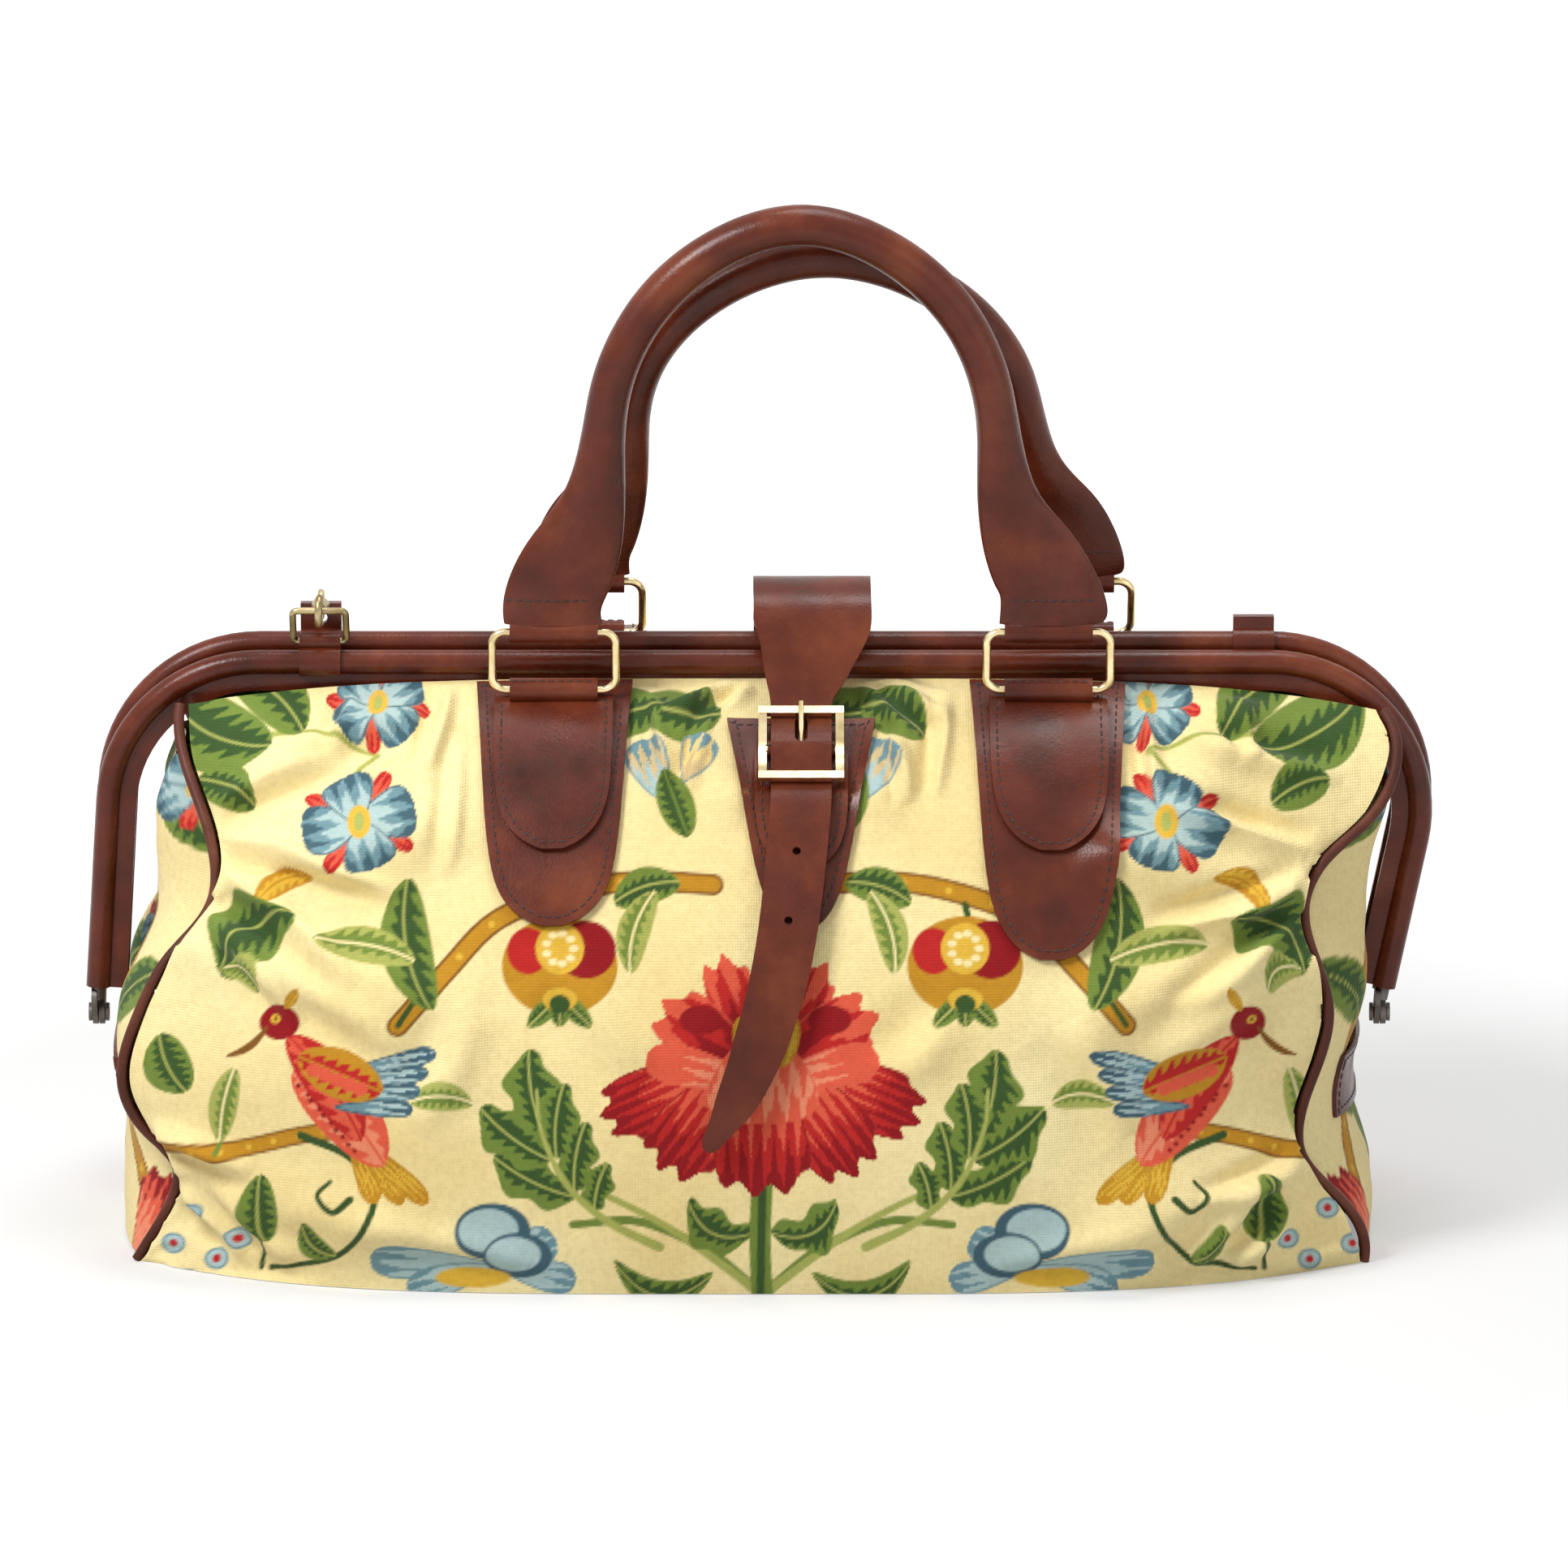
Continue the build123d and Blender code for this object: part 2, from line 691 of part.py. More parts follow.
def strap_sway(drop):
    """Where the middle of the strap's tail lies at a drop down the front panel."""
    share = (drop - buckle_drop - (buckle_height - buckle_bar_width) / 2) / strap_tail
    shares = [entry[0] for entry in strap_tail_shares]
    sways = [entry[1] for entry in strap_tail_shares]
    return fittings_centre + strap_width * width_at(share, shares, sways)


def width_at(share, shares, widths):
    """A width read between its neighbours along the strap."""
    for low, high, start, end in zip(shares, shares[1:], widths, widths[1:]):
        if low <= share <= high:
            return start + (end - start) * (share - low) / (high - low)
    return widths[-1]


def gusset_band(side_name, front):
    """The stitched leather band across a gusset, under the foot of the frame."""
    side = sides[side_name]
    curve = front.seams[side_name]
    reach = gusset_curve(side_name)
    grids = []
    for lift in (clearance + clip_leather, clearance):
        rows = []
        for step in spread(7):
            height = band_centre_height + band_height * (step - 1 / 2)
            share = 1 - height / panel_height
            seam = curve.position_at(share)
            wide = abs(reach.position_at(share).X)
            row = []
            for across in spread(17):
                turn = band_reach_share * (2 * across - 1)
                bulge = 1 - abs(turn) ** gusset_fullness
                x = abs(seam.X) + (wide - abs(seam.X)) * bulge
                row.append(Vector(side * (x + lift), turn * (abs(seam.Y) - seam_allowance), seam.Z))
            rows.append(row)
        grids.append(rows)
    return sheet(*grids)


def bead_plane(face, reach):
    """The plane across one frame bead: Y upwards, Z along the bag."""
    top = frame_top_height + (rear_frame_rise if face > 0 else 0)
    return Plane(origin=(reach, face * frame_spacing / 2, top), x_dir=(0, face, 0), z_dir=(face, 0, 0))


def open_loop(extra):
    """A leather loop round a frame bead, joined to an extra and open below for the skirt."""
    inner = bead_radius + clearance
    outer = inner + clip_leather
    loop = Cylinder(outer, clip_loop_width) + extra - Cylinder(inner, clip_loop_width)
    return loop - Pos(0, -loop_opening_height - outer / 2, 0) * Box(2 * outer, outer, clip_loop_width)


def dee_bar_height():
    """The height of the dee's bar over the middle of the front bead."""
    return bead_radius + 2 * clearance + clip_leather + dee_wire_radius


def clip_loop():
    """The loop on the front half of the frame, with a bore for the dee's bar."""
    bore_radius = dee_wire_radius + clearance
    middle = Pos(0, dee_bar_height(), 0)
    loop = open_loop(middle * Cylinder(bore_radius + clip_leather, clip_loop_width))
    return bead_plane(-1, -clip_reach) * (loop - middle * Cylinder(bore_radius, clip_loop_width))


def frame_tab(reach, height, holed):
    """A leather tab standing on the rear half of the frame."""
    top = bead_radius + height
    tab = open_loop(Pos(0, top - height / 2, 0) * Box(tab_thickness, height, clip_loop_width))
    if holed:
        tab -= Pos(0, top - tab_hole_drop, 0) * Rot(0, 90, 0) * Cylinder(tab_hole_radius, tab_thickness)
    return bead_plane(1, reach) * tab


def dee_plane():
    """The plane of the dee, from its bar."""
    height = frame_top_height + dee_bar_height()
    return leaning_plane((-clip_reach, -frame_spacing / 2, height), dee_lean)


def hook_plane():
    """The plane of the snap hook, from the middle of its eye: X towards the dee, Y upwards."""
    hole_height = frame_top_height + rear_frame_rise + bead_radius + tab_height - tab_hole_drop
    eye = Vector(-clip_reach, frame_spacing / 2, hole_height + eye_radius)
    catch = dee_plane().from_local_coords(Vector(0, dee_height - 2 * dee_wire_radius, 0))
    return Plane(origin=eye, x_dir=catch - eye, z_dir=(-1, 0, 0))


def hook_middle():
    """The middle of the hook's bend, along the hook from its eye."""
    return eye_radius + swivel_length + hook_bend_radius


def clip_hook():
    """The snap hook: an eye, a tapered swivel and an open hook, as one casting."""
    hook = Torus(eye_radius, eye_wire_radius)
    swivel = Rot(0, 90, 0) * Cone(swivel_radius, swivel_end_radius, swivel_length)
    hook += Pos(eye_radius + swivel_length / 2, 0, 0) * swivel
    hook += Pos(hook_middle(), 0, 0) * Torus(hook_bend_radius, hook_wire_radius)
    mouth = Box(gate_length + 2 * clearance, gate_room_height, gate_room_height)
    return hook_plane() * (hook - Pos(hook_middle(), hook_bend_radius, 0) * mouth)


def clip_gate():
    """The sprung gate across the hook's mouth."""
    gate = Rot(0, 90, 0) * Cylinder(gate_radius, gate_length)
    return hook_plane() * (Pos(hook_middle(), gate_height, 0) * gate)


def main():
    os.makedirs("parts", exist_ok=True)
    panels = {
        "front": Panel(-1, front_profile_shares, front_fold_shares),
        "rear": Panel(1, rear_profile_shares, rear_fold_shares),
    }
    front, rear = panels["front"], panels["rear"]
    for name, panel in panels.items():
        save(f"{name}_panel", cloth_panel(panel))
    for side_name in sides:
        save(f"{side_name}_gusset", gusset(side_name, front))
        for name in panels:
            save(f"{name}_{side_name}_piping", piping(side_name, faces[name]))
        save(f"{side_name}_hinge_rivet", hinge_rivet(side_name))
        save(f"{side_name}_gusset_band", gusset_band(side_name, front))
    wall = cloth_thickness + base_inset
    save("base_panel", base_plate(front, rear, wall, 0, cloth_thickness))
    save("base_board", base_plate(front, rear, wall + base_board_inset, cloth_thickness, base_board_thickness))
    for name, face in faces.items():
        save(f"{name}_frame_cover", frame_cover(face))
        save(f"{name}_frame_bow", frame_bow(face))
    leans = {"front": front_handle_lean, "rear": rear_handle_lean}
    rises = {"front": front_handle_rise, "rear": rear_handle_rise}
    for name, panel in panels.items():
        centre = fittings_centre + (handle_shift if name == "rear" else 0)
        plane = handle_plane(panel, centre, leans[name])
        save(f"{name}_handle", handle(plane, rises[name]))
        for side_name, side in sides.items():
            place = centre + side * ring_half_spacing
            length = rear_patch_length
            if name == "front":
                length = left_patch_length if side_name == "left" else right_patch_length
            patch = tapered_patch(
                panel, place, patch_start, length, patch_top_width, patch_foot_width,
                patch_lift(0), leather_thickness, patch_roundness,
            )
            save(f"{name}_{side_name}_patch", patch)
            save(f"{name}_{side_name}_chape", chape(panel, place))
            save(f"{name}_{side_name}_ring", ring(plane, side))
    plane = buckle_plane(front)
    patch = tapered_patch(
        front, fittings_centre, buckle_drop - buckle_patch_rise, buckle_patch_length,
        buckle_patch_top_width, buckle_patch_foot_width, patch_lift(0), leather_thickness, patch_roundness,
    )
    save("buckle_patch", patch)
    save("buckle_chape", buckle_chape(front, plane))
    save("buckle_frame", buckle_frame(plane))
    save("buckle_prong", buckle_prong(plane))
    save("strap", strap(front, rear, plane))
    save("clip_loop", clip_loop())
    save("clip_dee", wire_ring(dee_plane(), 0, dee_width, dee_height, dee_wire_radius, dee_corner_radius))
    save("clip_tab", frame_tab(-clip_reach, tab_height, True))
    save("clip_hook", clip_hook())
    save("clip_gate", clip_gate())
    save("spare_tab", frame_tab(right_tab_reach, right_tab_height, False))


main()
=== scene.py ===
import json
import math
import bpy
import numpy as np
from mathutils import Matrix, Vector
from mathutils.bvhtree import BVHTree


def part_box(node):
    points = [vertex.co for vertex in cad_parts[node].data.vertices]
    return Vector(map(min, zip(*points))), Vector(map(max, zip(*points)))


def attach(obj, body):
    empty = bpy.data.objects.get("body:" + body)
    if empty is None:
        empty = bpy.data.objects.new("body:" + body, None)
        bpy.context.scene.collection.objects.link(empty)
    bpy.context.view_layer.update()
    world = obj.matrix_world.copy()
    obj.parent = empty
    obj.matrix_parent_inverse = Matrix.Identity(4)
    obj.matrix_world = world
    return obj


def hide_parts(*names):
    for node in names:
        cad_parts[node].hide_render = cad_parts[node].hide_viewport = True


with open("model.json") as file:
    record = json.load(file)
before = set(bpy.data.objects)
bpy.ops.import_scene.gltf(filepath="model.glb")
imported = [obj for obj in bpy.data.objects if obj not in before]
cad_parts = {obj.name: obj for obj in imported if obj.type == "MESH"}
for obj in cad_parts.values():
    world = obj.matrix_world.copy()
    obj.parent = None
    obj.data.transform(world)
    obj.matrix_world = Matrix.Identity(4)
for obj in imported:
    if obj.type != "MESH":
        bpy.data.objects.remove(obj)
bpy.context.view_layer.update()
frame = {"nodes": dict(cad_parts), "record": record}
nodes = frame["nodes"]
random = np.random.default_rng(7)

# Body sizes, in metres, as the frame has them
half_length = 0.235
half_depth = 0.107
panel_height = 0.206
floor_gap = 0.0003
smallest_length = 1e-12
panel_fullness = 4
gusset_fullness = 2.6
gusset_bulge = 0.012
gusset_edge_inset = 0.0006
seam_allowance = 0.0029
seam_tuck = 0.0016
tuck_start_share = 0.84
tuck_end_share = 0.92
tuck_fullness = 60

# Grids of the cloth: rows, columns and the pieces of each panel, and how far a point may be from its solid
panel_grids = {"front": (300, 599, ("left", "right")), "rear": (180, 400, ("whole",))}
gusset_rows = 130
gusset_columns = 100
seam_steps = 200
curve_steps = 24
panel_snap_reach = 0.012
panel_smooth_rounds = 8
gusset_snap_reach = 0.04
gusset_smooth_rounds = 6

# Wrinkles and finer creases, in metres
wrinkle_size = 0.012
wrinkle_waves = 7
crease_size = 0.0035
crease_waves = 9
panel_wrinkle_depth = 0.0006
panel_crease_depth = 0.00018
gusset_wrinkle_depth = 0.0011
gusset_crease_depth = 0.0002
side_fade_share = 0.03
end_fade_share = 0.05
middle_wrinkle_share = 0.35
wave_size_shares = (0.5, 1.6)
wave_bend_share = 1.3
bend_size_share = 2.3
fade_size_share = 3.1

# The photograph's frame: pixels, metres for a pixel, and where the base's middle stands in it
photo_pixels = 1932
pixel_size = 0.0002985
photo_middle_x = 940
photo_base_y = 1588
view_elevation = math.radians(15)
camera_distance = 4
front_reach = 0.105
world_light = 0.42
floor_size = 8
floor_tone = 0.55
floor_glow = 0.33
shadow_inner_radius = 0.35
shadow_outer_radius = 0.9

# Outlines as shares of the half length, half depth and height, from the top down
left_seam_shares = [
    (0.906, 0.155, 0.962), (0.896, 0.285, 0.874), (0.852, 0.450, 0.745), (0.853, 0.520, 0.650),
    (0.918, 0.585, 0.560), (0.968, 0.625, 0.456), (0.992, 0.640, 0.340), (0.955, 0.625, 0.245),
    (0.910, 0.610, 0.180), (0.925, 0.590, 0.100), (0.975, 0.570, 0),
]
right_seam_shares = [
    (0.966, 0.155, 0.950), (0.985, 0.260, 0.890), (0.945, 0.375, 0.790), (0.868, 0.455, 0.715),
    (0.838, 0.515, 0.640), (0.856, 0.570, 0.550), (0.876, 0.605, 0.465), (0.862, 0.630, 0.380),
    (0.834, 0.630, 0.280), (0.834, 0.620, 0.210), (0.895, 0.600, 0.120), (0.936, 0.590, 0),
]
profile_shares = {
    "front": [
        (0.075, 1.000), (0.280, 0.958), (0.542, 0.838), (0.785, 0.655),
        (0.944, 0.447), (1.000, 0.243), (0.982, 0.073), (0.963, 0),
    ],
    "rear": [
        (0.075, 1.000), (0.330, 1.012), (0.580, 0.985), (0.790, 0.900),
        (0.930, 0.728), (1.000, 0.485), (1.000, 0.243), (0.982, 0.073), (0.963, 0),
    ],
}

# Drag lines in the photograph's frame: two ends, width in pixels, height in metres before its scale
fold_bow = 0.12
hollow_share = 0.7
hollow_place_share = 1.7
fold_height_scale = 2.2
panel_folds = [
    (262, 1030, 500, 1100, 13, 0.0030), (268, 1062, 450, 1210, 15, 0.0026),
    (258, 1000, 440, 925, 13, 0.0026), (300, 955, 520, 880, 15, 0.0020),
    (262, 1120, 380, 1260, 14, 0.0020), (1604, 1085, 1410, 1150, 14, 0.0030),
    (1606, 1050, 1420, 985, 13, 0.0028), (1600, 1120, 1440, 1250, 15, 0.0024),
    (1650, 960, 1440, 900, 15, 0.0022), (930, 846, 866, 900, 9, 0.0026),
    (1052, 848, 1122, 905, 9, 0.0026), (905, 842, 810, 880, 10, 0.0022),
    (1080, 846, 1170, 890, 10, 0.0022), (880, 880, 842, 985, 11, 0.0018),
    (1088, 880, 1120, 990, 11, 0.0018), (560, 842, 530, 950, 11, 0.0020),
    (574, 900, 560, 1080, 12, 0.0016), (800, 848, 826, 980, 11, 0.0018),
    (1166, 850, 1150, 985, 11, 0.0018), (1396, 852, 1420, 985, 11, 0.0022),
    (440, 850, 420, 935, 11, 0.0016), (1520, 855, 1540, 940, 11, 0.0016),
    (172, 1380, 320, 1440, 13, 0.0030), (190, 1420, 310, 1540, 13, 0.0030),
    (260, 1440, 372, 1560, 14, 0.0022), (1600, 1430, 1470, 1480, 13, 0.0028),
    (1592, 1465, 1500, 1566, 13, 0.0028), (1540, 1470, 1430, 1566, 14, 0.0020),
    (600, 1230, 520, 1390, 26, 0.0016), (1310, 1250, 1390, 1390, 26, 0.0016),
    (700, 1190, 800, 1330, 26, 0.0014), (1180, 1240, 1100, 1330, 26, 0.0014),
    (420, 1500, 700, 1560, 18, 0.0014), (1200, 1560, 1460, 1510, 18, 0.0014),
    (330, 1180, 520, 1300, 22, 0.0018), (1560, 1200, 1400, 1310, 22, 0.0018),
]

# Where leather lies on the panels, in the same frame: left, top, right and bottom, and the margin round it
leather_windows = {
    "front": [
        (584, 800, 786, 1140), (1180, 800, 1380, 1196),
        (880, 880, 1070, 1160), (880, 1150, 1010, 1350),
    ],
    "rear": [(440, 780, 680, 1160), (1044, 780, 1284, 1160), (780, 780, 980, 1100)],
}
leather_margin = 26

# Stitches, in metres
stitch_length = 0.0024
stitch_spacing = 0.0034
stitch_radius = 0.00036
patch_stitch_inset = 0.0031
chape_stitch_inset = 0.0026
flap_half_width = 0.018
flap_stitch_half_width = 0.0155
flap_stitch_rise = 0.017
stitch_sides = 6
ray_start = 1
stitch_profile_shares = ((-0.5, 0.35), (-0.3, 1), (0.3, 1), (0.5, 0.35))

# Textures: features for a metre, and bump depths in metres
slub_scale = 420
slub_depth = 0.0004
soil_scale = 9
weave_scale = 330
weave_depth = 0.0003
dye_scale = 26
wear_scale = 60
pore_scale = 900
pore_depth = 0.0003
leather_crease_scale = 170
leather_crease_depth = 0.0006
tarnish_scale = 70
rub_scale = 380
rub_depth = 0.0002
twist_scale = 700
fleck_scale = 200

# Lamps: place, height of the target, size and watts
lamps = {
    "key": ((-0.8, -0.7, 1.2), 0.15, 0.5, 17),
    "fill": ((1.2, -1.1, 0.7), 0.15, 1.2, 4),
    "top": ((0.15, 0.1, 1.5), 0.2, 0.6, 8),
}


# Curves and grids

def smooth_curve(points, count):
    """Even steps along a smooth curve through points."""
    points = np.array(points, float)
    padded = np.vstack([2 * points[0] - points[1], points, 2 * points[-1] - points[-2]])
    steps = np.linspace(0, 1, curve_steps, endpoint=False)[:, None]
    run = []
    for a, b, c, d in zip(padded, padded[1:], padded[2:], padded[3:]):
        run.append(0.5 * (2 * b + (c - a) * steps + (2 * a - 5 * b + 4 * c - d) * steps**2
                          + (3 * b - a - 3 * c + d) * steps**3))
    dense = np.vstack(run + [points[-1:]])
    length = np.concatenate([[0], np.cumsum(np.linalg.norm(np.diff(dense, axis=0), axis=1))])
    wanted = np.linspace(0, length[-1], count)
    return np.stack([np.interp(wanted, length, dense[:, axis]) for axis in range(dense.shape[1])], axis=1)


def body_points(shares, side, face):
    """Points of the body from shares of its sizes."""
    sizes = np.array([side * half_length, face * half_depth, panel_height])
    return np.array(shares) * sizes + np.array([0, 0, floor_gap])


def outward_normals(grid, axis, sign):
    """Unit normals of a grid that face out along an axis, and whether they had to be turned."""
    down = np.gradient(grid, axis=0)
    across = np.gradient(grid, axis=1)
    normal = np.cross(down, across)
    normal = normal / np.maximum(np.linalg.norm(normal, axis=2, keepdims=True), smallest_length)
    rows, columns = grid.shape[:2]
    turned = normal[rows // 2, columns // 2, axis] * sign < 0
    return (-normal if turned else normal), turned


def smooth_grid(grid, rounds):
    """A grid with its facets evened out, its border kept."""
    for _ in range(rounds):
        inner = (grid[:-2, 1:-1] + grid[2:, 1:-1] + grid[1:-1, :-2] + grid[1:-1, 2:]) / 4
        grid[1:-1, 1:-1] = (grid[1:-1, 1:-1] + inner) / 2
    return grid


def solid_tree(node):
    """A solid's points, and a tree of its faces to cast rays at."""
    piece = nodes[node]
    points = np.array([piece.matrix_world @ v.co for v in piece.data.vertices])
    faces = [polygon.vertices[:] for polygon in piece.data.polygons]
    return points, BVHTree.FromPolygons(points.tolist(), faces)


def snap_to_node(grid, normal, node, reach):
    """Moves a grid on to the outside of a solid of the frame, along the grid's normals."""
    _, tree = solid_tree(node)
    flat = grid.reshape(-1, 3)
    out = flat.copy()
    for index, (point, direction) in enumerate(zip(flat, normal.reshape(-1, 3))):
        start = Vector(point + direction * reach)
        hit = tree.ray_cast(start, Vector(-direction), 2 * reach)[0]
        if hit is None:
            hit = tree.find_nearest(Vector(point))[0]
        out[index] = hit
    return out.reshape(grid.shape)


def panel_grid(name, rows, columns):
    """The outside of the front or rear cloth panel, as a grid of points, and which way it faces."""
    face = -1 if name == "front" else 1
    middle = smooth_curve(body_points([(0, *share) for share in profile_shares[name]], 1, face), rows)
    left = smooth_curve(body_points(left_seam_shares, -1, face), rows)
    right = smooth_curve(body_points(right_seam_shares, 1, face), rows)
    share = np.linspace(0, 1, columns)[None, :]
    x = (left[:, :1] + seam_allowance) * (1 - share) + (right[:, :1] - seam_allowance) * share
    across = (2 * x - left[:, :1] - right[:, :1]) / (right[:, :1] - left[:, :1])
    pull = np.abs(across) ** panel_fullness
    seam = np.where((across < 0)[..., None], left[:, None, :], right[:, None, :])
    grid = middle[:, None, :] + (seam - middle[:, None, :]) * pull[..., None]
    grid[..., 0] = x
    normal, _ = outward_normals(grid, 1, face)
    grid = snap_to_node(grid, normal, f"{name}_panel", panel_snap_reach)
    grid = smooth_grid(grid, panel_smooth_rounds)
    turn = 2 * share - 1
    low = (np.linspace(0, 1, rows)[:, None] - tuck_start_share) / (tuck_end_share - tuck_start_share)
    tuck = seam_tuck * np.clip(low, 0, 1)
    grid[..., 0] += tuck * np.sign(turn) * np.abs(turn) ** tuck_fullness
    return grid, face


def gusset_grid(name, rows, columns):
    """The outside of a gusset, as a grid of points snapped to its solid, and which way it faces."""
    low, high = (np.array(corner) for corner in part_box(f"{name}_gusset"))
    side = -1 if name == "left" else 1
    shares = left_seam_shares if side < 0 else right_seam_shares
    seam = smooth_curve(body_points(shares, side, 1), seam_steps)
    heights = np.linspace(high[2] - gusset_edge_inset, low[2] + gusset_edge_inset, rows)
    order = np.argsort(seam[:, 2])
    seam_x = np.interp(heights, seam[order, 2], seam[order, 0])
    seam_y = np.interp(heights, seam[order, 2], seam[order, 1]) - seam_allowance
    turn = np.linspace(-1, 1, columns)[None, :]
    grid = np.zeros((rows, columns, 3))
    grid[..., 0] = seam_x[:, None] + side * gusset_bulge * (1 - np.abs(turn) ** gusset_fullness)
    grid[..., 1] = turn * seam_y[:, None]
    grid[..., 2] = heights[:, None]
    normal = np.zeros_like(grid)
    normal[..., 0] = side
    grid = snap_to_node(grid, normal, f"{name}_gusset", gusset_snap_reach)
    return smooth_grid(grid, gusset_smooth_rounds), side


def crumple(u, v, scale, waves):
    """Soft random wrinkles from a few slanted waves, mostly between -1 and 1."""
    total = np.zeros_like(u)
    for _ in range(waves):
        angle = random.uniform(0, math.pi)
        size = scale * random.uniform(*wave_size_shares)
        phase = random.uniform(0, 2 * math.pi, 3)
        along = u * math.cos(angle) + v * math.sin(angle)
        across = v * math.cos(angle) - u * math.sin(angle)
        bend = np.sin(across / (bend_size_share * size) + phase[0]) * wave_bend_share
        fade = np.cos(across / (fade_size_share * size) + phase[2])
        total += np.sin(along / size + bend + phase[1]) * fade
    return total / waves**0.5


def grid_mesh(name, grid, normal, flip):
    """A smooth mesh on a grid of points, shaded by the grid's own normals."""
    rows, columns = grid.shape[:2]
    index = np.arange(rows * columns).reshape(rows, columns)
    corners = [index[:-1, :-1], index[:-1, 1:], index[1:, 1:], index[1:, :-1]]
    quads = np.stack(corners, axis=-1).reshape(-1, 4)
    if flip:
        quads = quads[:, ::-1]
    mesh = bpy.data.meshes.new(name)
    mesh.from_pydata(grid.reshape(-1, 3).tolist(), [], quads.tolist())
    mesh.polygons.foreach_set("use_smooth", [True] * len(mesh.polygons))
    mesh.update()
    mesh.normals_split_custom_set_from_vertices(normal.reshape(-1, 3).tolist())
    piece = bpy.data.objects.new(name, mesh)
    bpy.context.collection.objects.link(piece)
    return piece


def paint(piece, colours):
    """Keeps the printed colours on the cloth as a colour attribute."""
    layer = piece.data.color_attributes.new("print", "FLOAT_COLOR", "POINT")
    flat = np.ones((len(piece.data.vertices), 4), np.float32)
    flat[:, :3] = colours.reshape(-1, 3)
    layer.data.foreach_set("color", flat.ravel())


# Print colours, linear

screen_white = 255
screen_gamma = 2.2


def colour(red, green, blue):
    """A linear colour from the 0 to 255 values of a screen."""
    return (np.array([red, green, blue]) / screen_white) ** screen_gamma


cream = colour(248, 231, 172)
cream_shade = colour(236, 208, 138)
parchment = colour(214, 190, 140)
red_dark = colour(142, 18, 26)
red_mid = colour(186, 38, 36)
coral = colour(224, 92, 68)
pink = colour(238, 140, 108)
green_dark = colour(56, 82, 40)
green_mid = colour(112, 134, 58)
green_light = colour(168, 174, 92)
blue_dark = colour(64, 94, 108)
blue_mid = colour(110, 146, 158)
blue_light = colour(172, 198, 200)
ochre = colour(192, 138, 36)
gold = colour(222, 178, 62)
brown = colour(128, 84, 30)
deep_leaf = (green_mid, green_dark, green_light)
pale_leaf = (green_light, green_mid, cream)
bud_green = (green_mid, green_dark, green_mid)
dry_leaf = (ochre, gold, ochre)
rosy = (coral, pink, coral)
ruddy = (red_mid, coral, red_mid)
flame = (pink, coral, red_dark)

# How marks are laid: edges and lines in pixels, the rest as shares
grain_size = 60
grain_waves = 9
grain_share = 0.22
soft_edge = 2
nowhere = -9
stroke_steps = 26
branch_core_share = 0.72
branch_spot_share = 0.16
branch_spots = 9
leaf_fullness = 0.6
leaf_swell_share = 2.3
lobe_depth_share = 0.22
lobe_shift = 0.9
vein_depth_share = 0.35
vein_turns = 46
vein_slant = 0.3
heart_shares = (0.62, 0.40)
rib_half_width = 1.6
scallop_depth_share = 0.05
petal_opening = 0.55
petal_bluntness = 6
streak_shares = ((0.16, 6.3), (0.07, 14.7))
tone_start_shares = (0.50, 0.78)
tone_blend_share = 0.25
rim_width = 2.2

# Motifs, as marks in shares of a motif's size, laid one over another
carnation_shares = [
    *[("petal", (0, 0), (x, y), width, (red_dark, red_mid, coral), 3, 3) for x, y, width in (
        (-0.30, -0.78, 0.44), (0.40, -0.76, 0.44), (-0.68, -0.46, 0.56), (0.74, -0.44, 0.56),
    )],
    *[("disc", (x, -0.38), 0.15, 0.10, red_dark) for x in (-0.42, 0.46)],
    *[("petal", (0.2 * x, -0.08), (x, y), width, (coral, red_mid, red_dark), 8, 4) for x, y, width in (
        (-1.06, 0.30, 0.60), (1.06, 0.28, 0.60), (-0.66, 0.64, 0.70), (0.66, 0.64, 0.70), (0, 0.80, 0.86),
    )],
    *[("petal", (0, 0.06), (x, -0.12), 0.36, (pink, coral, coral), 4, 0) for x in (-0.80, 0.80)],
    ("petal", (0, -0.32), (0, 0.34), 1, rosy, 8, 0),
    *[("leaf", (x, -0.06), (1.6 * x, -0.40), 0.14, 0, 0, dry_leaf) for x in (-0.10, 0.02, 0.14)],
    ("disc", (0.03, -0.12), 0.12, 0.10, ochre),
]
fruit_shares = [
    ("disc", (0, 0), 1, 0.86, ochre),
    ("disc", (0.45, -0.28), 0.52, 0.50, red_dark),
    ("disc", (-0.55, -0.26), 0.36, 0.40, red_mid),
    ("disc", (0, -0.30), 0.42, 0.44, gold),
    *[("disc", (0.24 * math.cos(angle), 0.26 * math.sin(angle) - 0.30), 0.08, 0.06, cream) for angle in (
        step * 2 * math.pi / 9 for step in range(9)
    )],
    *[("leaf", (0, 0.52), (x, 1.05), 0.34, 0, 0, deep_leaf) for x in (-0.55, 0, 0.55)],
    ("disc", (0, 0.58), 0.30, 0.20, gold),
    ("disc", (0, 0.66), 0.18, 0.16, green_dark),
]
feather_tones = (blue_mid, blue_light, blue_dark)
